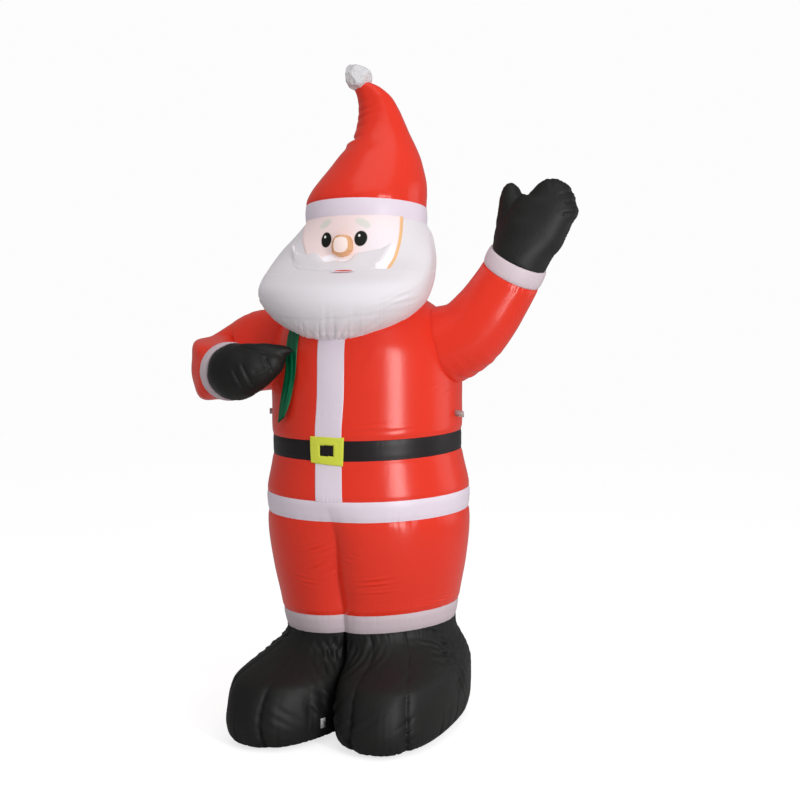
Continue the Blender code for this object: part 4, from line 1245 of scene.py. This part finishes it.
def face_material():
    """The face's cloth: pale, whiter towards the middle in painted glow from the lamp inside, with flat
    eyes, brows and sewn borders.
    """
    material = nylon("face_nylon", FACE_LIGHT, FACE_DARK, rough=0.5, specular=0.3)
    tree = material.node_tree
    add, link = tree.nodes.new, tree.links.new
    shader = tree.nodes["Principled BSDF"]
    old = shader.inputs["Base Color"].links[0]
    colour = old.from_socket
    tree.links.remove(old)
    place = cloth_coordinates(tree)

    def paint(under, over, mask, share=1.0):
        node = add("ShaderNodeMix")
        node.data_type = "RGBA"
        strength = add("ShaderNodeMath")
        strength.operation = "MULTIPLY"
        link(mask, strength.inputs[0])
        strength.inputs[1].default_value = share
        link(strength.outputs[0], node.inputs["Factor"])
        link(under, node.inputs["A"])
        node.inputs["B"].default_value = (*over, 1)
        return node.outputs["Result"]

    for over, centre, half, tilt, soft, share in FACE_GLOWS:
        colour = paint(colour, over, oval_mask(tree, place, centre, half, tilt, soft), share)
    split = add("ShaderNodeSeparateXYZ")
    link(cloth_coordinates(tree, "panel").outputs["UV"], split.inputs[0])
    for low, high, share in BORDER_EDGES:
        step = add("ShaderNodeMapRange")
        step.interpolation_type = "SMOOTHSTEP"
        link(split.outputs["X"], step.inputs["Value"])
        step.inputs["From Min"].default_value = low
        step.inputs["From Max"].default_value = high
        colour = paint(colour, BORDER, step.outputs[0], share)
    for over, centre, half, tilt, soft, share in FACE_BROWS:
        colour = paint(colour, over, oval_mask(tree, place, centre, half, tilt, soft), share)
    for x, wide in EYES:
        rim_half = (wide + 1.2, EYE_HALF_HEIGHT + 1.0)
        rim = oval_mask(tree, place, (x, EYE_HEIGHT), rim_half, soft=0.06)
        colour = paint(colour, EYE_RIM, rim, 0.5)
        black = oval_mask(tree, place, (x, EYE_HEIGHT), (wide, EYE_HALF_HEIGHT), soft=0.05)
        colour = paint(colour, EYE_BLACK, black)
        glint_at = (x + GLINT_SHIFT[0], EYE_HEIGHT + GLINT_SHIFT[1])
        colour = paint(colour, EYE_GLINT, oval_mask(tree, place, glint_at, GLINT_HALF, soft=0.35))
    link(colour, shader.inputs["Base Color"])
    # The whole face glows a little in its own colour: painted light for the lamp inside.
    link(colour, shader.inputs["Emission Color"])
    shader.inputs["Emission Strength"].default_value = 0.16
    return material


# Height and half width of the face panel, on each side of its middle.
FACE_BOTTOM, FACE_TOP = 677.0, 763.0
FACE_RIGHT = (
    (FACE_BOTTOM, 83.0),
    (684.0, 83.5),
    (696.0, 84.0),
    (707.0, 84.5),
    (721.0, 85.5),
    (733.0, 84.5),
    (747.0, 82.0),
    (FACE_TOP, 78.0),
)
FACE_LEFT = (
    (FACE_BOTTOM, 50.0),
    (690.0, 54.0),
    (707.0, 58.5),
    (718.7, 64.5),
    (732.7, 71.0),
    (749.0, 74.5),
    (FACE_TOP, 76.0),
)


def make_face():
    """The face panel, with a puckered edge on both sides."""
    rows, cols = 110, 180
    v = np.linspace(FACE_BOTTOM, FACE_TOP, rows)[:, None]
    u = np.linspace(-1, 1, cols)[None, :]
    left, right = through(FACE_LEFT, v)[..., 0], through(FACE_RIGHT, v)[..., 0]
    x = np.where(u < 0, u * left, u * right)
    v = np.broadcast_to(v, x.shape)
    p = head_front(x, v)
    n = normals(p, False)
    if n[60, 90] @ FRONT < 0:
        n = -n
    edge = np.clip((1 - np.abs(u)) / 0.05, 0, 1)
    # Under the moustache the face is tucked in; beside it, on the right cheek, it runs lower.
    covered = 1 - np.clip((x - 50) / 14, 0, 1)
    tuck = np.clip((v - FACE_BOTTOM - 10 * covered) / 7.0, 0, 1)
    lift = 0.5 + 1.1 * np.sqrt(edge)
    lift = lift + 0.5 * np.exp(-np.abs(1 - np.abs(u)) / 0.06) * creases(v / 30.0, 24, 111)
    lift = lift * tuck - 2.5 * (1 - tuck)
    p = p + n * lift[..., None]
    side, other = p[:, :1] - n[:, :1] * 2.5, p[:, -1:] - n[:, -1:] * 2.5
    p = np.concatenate([side, p, other], axis=1)
    uv_x = np.concatenate([x[:, :1], x, x[:, -1:]], axis=1) * PART
    uv_y = np.concatenate([v[:, :1], v, v[:, -1:]], axis=1) * PART
    obj = grid_piece("face_cloth", placed(p), False, face_material(), uv=(uv_x, uv_y))
    panel = obj.data.uv_layers.new(name="panel")
    flat_u = np.concatenate([[-1.0], u[0], [1.0]])
    cols = len(flat_u)
    corner = np.empty(len(obj.data.loops), int)
    obj.data.loops.foreach_get("vertex_index", corner)
    values = np.stack([flat_u[corner % cols], (corner // cols) / (rows - 1)], axis=-1)
    panel.data.foreach_set("uv", values.ravel())
    finish_piece(obj, "face_cloth", "face")


# Place across the face and height of the moustache's upper and lower edge.
MOUSTACHE_TOP = (
    (-88.0, 725.0), (-83.0, 716.0), (-76.8, 711.5), (-68.7, 707.7), (-58.3, 706.8), (-37.1, 707.1),
    (-31.4, 702.6), (-26.2, 696.0), (-2.9, 693.8), (18.0, 696.0), (23.0, 703.0), (32.5, 706.5),
    (44.9, 708.7), (61.2, 712.6), (68.0, 716.5), (73.5, 721.0),
)
MOUSTACHE_BOTTOM = (
    (-88.0, 725.0), (-86.0, 712.0), (-80.0, 698.0), (-68.0, 688.5), (-34.0, 681.0), (0.0, 679.5),
    (30.0, 678.5), (52.0, 679.5), (60.0, 680.5), (64.0, 684.5), (67.0, 692.0), (69.0, 700.0),
    (71.0, 709.0), (73.5, 720.5),
)


def make_moustache():
    """The moustache: a soft roll of cloth that tapers to both ends."""
    rows, cols = 44, 260
    x = np.linspace(MOUSTACHE_TOP[0][0], MOUSTACHE_TOP[-1][0], cols)
    top, bottom = through(MOUSTACHE_TOP, x)[:, 0], through(MOUSTACHE_BOTTOM, x)[:, 0]
    t = np.linspace(-1, 1, rows)[:, None]
    v = (top + bottom)[None, :] / 2 + t * (top - bottom)[None, :] / 2
    grid_x = np.broadcast_to(x[None, :], v.shape)
    p = head_front(grid_x, v)
    out = normals(p, False)
    if out[20, 130] @ FRONT < 0:
        out = -out
    size = np.clip((top - bottom)[None, :] / 26.0, 0, 1.0)
    high = (t + 1) / 2
    rise = np.clip(high / 0.55, 0, 1)
    rise = rise * rise * (3 - 2 * rise)
    puff = 0.3 + 2.3 * high + 2.4 * size * np.clip(1 - np.abs(t) ** 3, 0, 1) ** 0.7 * rise
    puff = puff + 0.5 * np.sin(grid_x / 9.0 + v / 14.0) * size * (1 - t * t)
    puff = puff + 0.7 * creases(grid_x / 60.0, 18, 113) * np.exp(-(1 - t) * 3.0) * size
    p = p + out * puff[..., None]
    first, last = p[:1] - out[:1] * 1.5, p[-1:] - out[-1:] * 3.5
    p = np.concatenate([first, p, last])
    obj = grid_piece("moustache_cloth", placed(p), False, BEARD)
    finish_piece(obj, "white_cloth", "moustache")


# The middle of the white patch, then the middle and half sizes of the red line.
MOUTH_MIDDLE = (20.5, 676.2)
MOUTH_LINE = ((21.5, 676.3), (13.8, 1.15))
MOUTH_RED = (0.74, 0.035, 0.030, 1)


def make_mouth():
    """The mouth: a thin red line on a narrow white patch, flat on the beard's top."""
    u = np.linspace(-1, 1, 70)[None, :]
    t = np.linspace(-1, 1, 14)[:, None]
    x = MOUTH_MIDDLE[0] + 17.5 * u + 0 * t
    v = MOUTH_MIDDLE[1] + 0.02 * (x - MOUTH_MIDDLE[0])
    v = v + 2.0 * t * np.sqrt(np.clip(1 - np.abs(u) ** 3, 0.02, 1))
    p = head_front(x, v)
    p = p + unit(np.array([0, -1.0, 0.6])) * 2.8
    p[0] += np.array([0, 2.0, 0])
    lips = nylon("mouth_print", (0.93, 0.88, 0.92), (0.90, 0.85, 0.89), rough=0.5, specular=0.3)
    tree = lips.node_tree
    line = oval_mask(tree, cloth_coordinates(tree), *MOUTH_LINE, soft=0.1)
    mix = tree.nodes.new("ShaderNodeMix")
    mix.data_type = "RGBA"
    base = tree.nodes["Principled BSDF"].inputs["Base Color"]
    tree.links.new(base.links[0].from_socket, mix.inputs["A"])
    mix.inputs["B"].default_value = MOUTH_RED
    tree.links.new(line, mix.inputs["Factor"])
    tree.links.new(mix.outputs["Result"], base)
    obj = grid_piece("mouth_patch", placed(p), False, lips, uv=(x * PART, v * PART))
    finish_piece(obj, "white_cloth")


# The nose's middle (X and height), its strip's sections as radius, reach and drift, and its front's radius.
NOSE_MIDDLE = (3.6, 716.8)
NOSE_RINGS = (
    (14.2, -6, 0.0),
    (14.8, 0.0, 0.0),
    (15.6, 4, 0.0),
    (15.8, 8, 0.0),
    (14.8, 12.0, -0.8),
    (12.8, 15.0, -1.4),
    (11.4, 16.2, -1.8),
)
NOSE_FRONT = 11.6


def make_nose():
    """A stub of cloth: a crumpled strip round it and a paler round front."""
    a = np.linspace(0, 2 * math.pi, 120, endpoint=False)
    centre = head_front(*(np.array(k) for k in NOSE_MIDDLE))
    axis = unit(np.array([-0.03, -1.0, 0.10]))
    across = unit(np.cross(axis, UP))
    up = np.cross(across, axis)
    wobble = 1 + 0.03 * ripple(a, 5, 121) + 0.02 * ripple(a, 11, 122)

    def ring(radius, out, drift):
        size = radius * wobble * (np.abs(np.cos(a)) ** 2.8 + np.abs(np.sin(a)) ** 2.8) ** (-1 / 2.8)
        flat = across * (size * np.cos(a) + drift)[:, None] + up * (size * np.sin(a))[:, None]
        return centre + axis * out + flat

    side = [ring(*row) for row in NOSE_RINGS]
    fine = []
    for low, high in zip(side, side[1:]):
        fine += [low * (1 - s) + high * s for s in np.linspace(0, 1, 9)[:-1]]
    p = np.stack(fine + [side[-1]])
    rows = np.arange(len(p))[:, None]
    height = np.sin(math.pi * rows / len(p))
    crumple = 1.3 * creases(a[None, :] + rows / 90.0, 15, 123)
    crumple = crumple + 0.7 * ripple(a[None, :] - rows / 50.0, 24, 125)
    p = p + outward(p, 20) * (crumple * height)[..., None]
    finish_piece(grid_piece("nose_strip", placed(p), True, PEACH, flip=faces_in(p)), "nose_cloth", "nose")
    t, u = np.linspace(-1, 1, 48)[:, None], np.linspace(1, -1, 48)[None, :]
    x, z = u * np.sqrt(1 - 0.38 * t * t), t * np.sqrt(1 - 0.38 * u * u)
    out = 16.0 + 2.0 * (1 - np.clip(x * x + z * z, 0, 1))
    flat = across * (NOSE_FRONT * x + NOSE_RINGS[-1][2])[..., None] + up * (NOSE_FRONT * z)[..., None]
    uv = (-NOSE_FRONT * x * PART, NOSE_FRONT * z * PART)
    obj = grid_piece("nose_front", placed(centre + axis * out[..., None] + flat), False, PALE, uv=uv)
    finish_piece(obj, "nose_cloth")


# The hat's lower edge, and how its rings tilt to one side.
HAT_LOW = 784.2
HAT_TILT = -0.016
# The folds at the hat's bend: height, depth and slant.
HAT_BENDS = ((921, 2.6, 5), (931, 2.2, 4), (943, 1.6, 4), (907, 1.3, 3))


def band_bow(a, share):
    """How far the hat band arches over the brow."""
    return 3.8 * np.cos(a - VIEW) * share


def make_hat():
    """The pointed hat with its bend, and the white band."""
    a = AROUND[None, ::2]
    v = levels(HAT_LOW, HAT_PATH[-1][0], 150, 0.2)[:, None]
    profile = through(HAT_PATH, v)
    radius = np.broadcast_to(profile[..., 2], (len(v), a.shape[1])).copy()
    view = a - VIEW
    left = np.exp(-((wrapped(view + math.pi / 2) / 0.55) ** 2))
    # The pinch on the inner side of the bend, with the short folds above it.
    radius -= 7.5 * left * np.exp(-(((v - 889.5) / 3.4) ** 2))
    radius += 3.2 * left * np.exp(-(((v - 883.0) / 5.5) ** 2))
    inner = np.exp(-((wrapped(view + 1.0) / 0.55) ** 2))
    for height, depth, slant in HAT_BENDS:
        line = height + slant * np.sin(view + 1.0)
        radius -= depth * inner * np.exp(-(((v - line) / 2.0) ** 2))
    radius -= 0.9 * np.exp(-(((v - 785) / 3) ** 2))
    radius += 1.1 * np.exp(-np.abs(v - 785) / 8.0) * creases(a, 60, 131)
    radius += 0.5 * ripple(a, 7, 132) * np.sin(v / 31)
    radius -= 3.0 * np.clip((v - 964) / 7.5, 0, 1) ** 2
    x = profile[..., 0] + radius * np.sin(a)
    y = profile[..., 1] - radius * np.cos(a)
    tilt = HAT_TILT * radius * np.sin(a) * np.clip((900 - v) / 115, 0, 1)
    tilt = tilt + band_bow(a, np.clip((830 - v) / 46, 0, 1))
    p = np.stack([x, y, v + tilt], axis=-1)
    p = lipped(p, 0.0, 3.0, ends=(True, False))
    finish_piece(grid_piece("hat_cloth", placed(p), True, RED, caps=(False, True)), "red_cloth", "hat")

    v = levels(HEAD_TOP, BAND_TOP, 30)[:, None]
    share = (v - HEAD_TOP) / (BAND_TOP - HEAD_TOP)
    radius = 93.0 + 0.9 * np.sin(math.pi * share)
    radius = radius + 0.5 * np.exp(-(v - HEAD_TOP) / 5) * creases(a, 60, 133)
    radius = radius + 0.4 * np.exp(-(BAND_TOP - v) / 5) * creases(a, 60, 134)
    tilt = HAT_TILT * radius * np.sin(a) + band_bow(a, 0.2 + 0.8 * share)
    p = np.stack([radius * np.sin(a), -radius * np.cos(a), v + tilt], axis=-1)
    p = lipped(p, 0.0, 3.0)
    finish_piece(grid_piece("hat_band_cloth", placed(p), True, WHITE), "white_cloth", "hat_band")


def make_pompom():
    """A ball of gathered cloth that has collapsed into flat facets."""
    work = bmesh.new()
    bmesh.ops.create_icosphere(work, subdivisions=5, radius=1.0)
    mesh = bpy.data.meshes.new("pompom_cloth")
    work.to_mesh(mesh)
    work.free()
    count = len(mesh.vertices)
    co = np.empty(count * 3)
    mesh.vertices.foreach_get("co", co)
    co = co.reshape(-1, 3)
    chance = np.random.default_rng(141)
    ways = unit(chance.normal(size=(POMPOM_FACETS, 3)))
    cut = chance.uniform(0.84, 1.0, POMPOM_FACETS)
    facing = co @ ways.T
    reach = np.min(np.where(facing > 0.2, cut / np.maximum(facing, 0.2), 9), axis=1)
    reach = np.minimum(reach, 1.12)
    rough = 0.0
    for k in (9, 13, 17, 23):
        rough = rough + np.sin(co @ (unit(chance.normal(size=3)) * k) + chance.uniform(0, 6))
    co = co * (reach + 0.03 * rough / 4)[:, None]
    co = co * POMPOM_RADIUS * 0.98 + np.array(POMPOM_CENTRE)
    co[:, 2] = np.minimum(co[:, 2], 1000.0)
    mesh.vertices.foreach_set("co", placed(co).ravel())
    mesh.shade_smooth()
    mesh.materials.append(POMPOM_WHITE)
    obj = bpy.data.objects.new("pompom_cloth", mesh)
    bpy.context.scene.collection.objects.link(obj)
    finish_piece(obj, "white_cloth", "pompom")


# The strap's way down the chest as height and angle, its ends' heights and its half widths in metres.
STRAP_ROUTE = (
    (457.0, -32.5),
    (490.0, -29.5),
    (530.0, -26.0),
    (565.0, -26.5),
    (589.0, -28.0),
    (606.0, -29.0),
)
STRAP_TOP, STRAP_END = 606.0, 462.0
STRAP_HALF_TOP, STRAP_HALF_END = 0.0335, 0.0235


def make_strap():
    """A ribbon tube pressed flat. It hangs from under the beard past the mitten to a slanted open end."""
    share = np.linspace(0, 1, 120)[:, None]
    loop = np.linspace(0, 2 * math.pi, 48, endpoint=False)[None, :]
    v = STRAP_TOP + (STRAP_END - STRAP_TOP) * share
    middle = np.radians(through(STRAP_ROUTE, v)[..., 0] - 0.8 * share)
    narrow = np.clip((share - 0.55) / 0.45, 0, 1)
    across = np.cos(loop) * (STRAP_HALF_TOP + (STRAP_HALF_END - STRAP_HALF_TOP) * narrow) / PART
    thick = 0.9 + 0.8 * narrow
    height = v - np.clip((share - 0.9) / 0.1, 0, 1) * across * 0.6
    off = 1.6 + 6.6 * share ** 1.5 + thick * np.sin(loop)
    off = off + 0.8 * np.sin(across * 0.6 + share * 7) * (1 - 0.5 * narrow)
    off = off + 0.5 * np.sin(across * 1.5 + share * 3 + 1)
    base = column(height, middle - across / 148.0)
    p = base + unit(base * FLAT) * off[..., None]
    obj = grid_piece("strap_ribbon", placed(p), True, GREEN, caps=(True, False), flip=faces_in(p))
    finish_piece(obj, "green_satin", "strap")


# How far a tab's edges are rounded, in metres.
TAB_ROUNDING = 0.0009


def tab(name, node, material, droop):
    """A folded tape tab with rounded edges, which droops a little away from the body."""
    work = bmesh.new()
    work.from_mesh(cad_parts[node].data)
    bmesh.ops.remove_doubles(work, verts=work.verts, dist=0.0001)
    bmesh.ops.bevel(work, geom=work.edges[:], offset=TAB_ROUNDING, segments=2, affect="EDGES")
    mesh = bpy.data.meshes.new(name)
    work.to_mesh(mesh)
    work.free()
    mesh.shade_smooth()
    mesh.materials.clear()
    mesh.materials.append(material)
    obj = bpy.data.objects.new(name, mesh)
    bpy.context.scene.collection.objects.link(obj)
    co, _ = mesh_arrays(obj)
    away = np.abs(co[:, 0] - AXIS[0])
    co[:, 2] -= (away - away.min()) * droop
    mesh.vertices.foreach_set("co", co.ravel())
    finish_piece(obj, "webbing", node)


def make_tabs():
    """The three tape tabs that tethers go through."""
    tab("tether_tab_left", "tether_left", TAPE, 0.16)
    tab("tether_tab_right", "tether_right", TAPE, 0.10)
    tab("tether_tab_front", "tether_front", SILVER, 0.0)


def area_light(name, size, place, aim, power):
    """A rectangular lamp at a place, pointed at another."""
    light = bpy.data.lights.new(name, "AREA")
    light.shape = "RECTANGLE"
    light.size, light.size_y = size
    light.energy = power
    obj = bpy.data.objects.new(name, light)
    obj.location = place
    obj.rotation_euler = (Vector(aim) - Vector(place)).to_track_quat("-Z", "Y").to_euler()
    bpy.context.scene.collection.objects.link(obj)
    return obj


def by_ray(tree, kind, otherwise, value):
    """A strength for one kind of ray, and another for all the rest."""
    ray = tree.nodes.new("ShaderNodeLightPath")
    choice = tree.nodes.new("ShaderNodeMapRange")
    choice.inputs["To Min"].default_value = otherwise
    choice.inputs["To Max"].default_value = value
    tree.links.new(ray.outputs[kind], choice.inputs["Value"])
    return choice.outputs["Result"]


def around_axis(azimuth, far, high):
    """A place round the figure, by the angle from its front."""
    turn = math.radians(azimuth)
    return Vector(AXIS) + Vector((far * math.sin(turn), -far * math.cos(turn), high))


# The floor's tone and the glow that only the camera sees, then the heights in metres that the streak
# lamp stands at and that the others point to.
FLOOR_GREY = 0.55
FLOOR_GLOW = 0.71
STREAK_HEIGHT = 1.22
AIM_HEIGHT = 1.1


def make_floor():
    """A floor that looks almost white, so that only a soft shadow shows on it."""
    work = bmesh.new()
    bmesh.ops.create_grid(work, x_segments=1, y_segments=1, size=14)
    mesh = bpy.data.meshes.new("floor")
    work.to_mesh(mesh)
    work.free()
    floor = bpy.data.objects.new("floor", mesh)
    floor.location = (0, 0, -0.0005)
    bpy.context.scene.collection.objects.link(floor)
    paint = bpy.data.materials.new("floor_paint")
    paint.use_nodes = True
    shader = paint.node_tree.nodes["Principled BSDF"]
    shader.inputs["Base Color"].default_value = (FLOOR_GREY, FLOOR_GREY, FLOOR_GREY, 1)
    shader.inputs["Roughness"].default_value = 0.9
    shader.inputs["Emission Color"].default_value = (1, 1, 1, 1)
    glow = by_ray(paint.node_tree, "Is Camera Ray", 0.0, FLOOR_GLOW)
    paint.node_tree.links.new(glow, shader.inputs["Emission Strength"])
    mesh.materials.append(paint)


# The surround's strength as light and as seen, and its share in reflections.
SKY_LIGHT, SKY_SEEN = 0.50, 0.98
SKY_IN_GLOSS = 0.45


def make_surround():
    """A white surround that is seen brighter than it lights."""
    world = bpy.data.worlds.new("surround")
    world.use_nodes = True
    tree = world.node_tree
    sky = tree.nodes["Background"]
    sky.inputs["Color"].default_value = (1, 1, 1, 1)
    both = tree.nodes.new("ShaderNodeMath")
    both.operation = "MULTIPLY"
    tree.links.new(by_ray(tree, "Is Camera Ray", SKY_LIGHT, SKY_SEEN), both.inputs[0])
    tree.links.new(by_ray(tree, "Is Glossy Ray", 1.0, SKY_IN_GLOSS), both.inputs[1])
    tree.links.new(both.outputs[0], sky.inputs["Strength"])
    bpy.context.scene.world = world
    bpy.context.scene.view_settings.view_transform = "Standard"


def make_lights():
    """One tall soft light beside the camera, a broad one above and a faint one at the side."""
    aim = Vector(AXIS) + Vector((0, 0, AIM_HEIGHT))
    # A tall narrow lamp that is seen only as the streak it leaves on the shiny cloth.
    streak_aim = Vector(AXIS) + Vector((0, 0, STREAK_HEIGHT))
    streak = area_light("streak_lamp", (0.17, 2.1), around_axis(57.7, 3.3, STREAK_HEIGHT), streak_aim, 39)
    streak.visible_diffuse = False
    area_light("tall_soft_light", (0.45, 1.9), around_axis(50, 3.3, 1.5), aim, 40)
    area_light("broad_top_light", (3.0, 3.0), around_axis(30, 1.8, 4.2), aim, 33)
    area_light("side_fill", (1.4, 2.4), around_axis(118, 3.0, 1.6), aim, 12)


# Where the camera stands, in degrees and metres, and the way it looks.
CAMERA_AZIMUTH = 22.0
CAMERA_YAW = math.radians(20.282)
CAMERA_PITCH = math.radians(-1.55)
CAMERA_FAR = 4.2
CAMERA_HIGH = 1.31


def make_camera():
    """The camera, where the photo was taken from."""
    data = bpy.data.cameras.new("camera")
    data.lens = 50
    data.sensor_width = 36
    camera = bpy.data.objects.new("camera", data)
    camera.location = around_axis(CAMERA_AZIMUTH, CAMERA_FAR, CAMERA_HIGH)
    level = math.cos(CAMERA_PITCH)
    look = Vector((-math.sin(CAMERA_YAW) * level, math.cos(CAMERA_YAW) * level, math.sin(CAMERA_PITCH)))
    camera.rotation_euler = look.to_track_quat("-Z", "Y").to_euler()
    bpy.context.scene.collection.objects.link(camera)
    bpy.context.scene.camera = camera


make_body()
make_placket()
make_buckle()
make_arms()
boot("boot_left", 201)
boot("boot_right", 231)
make_beard()
make_face()
make_moustache()
make_mouth()
make_nose()
make_hat()
make_pompom()
make_strap()
make_tabs()
make_floor()
make_surround()
make_lights()
make_camera()

bpy.context.view_layer.update()
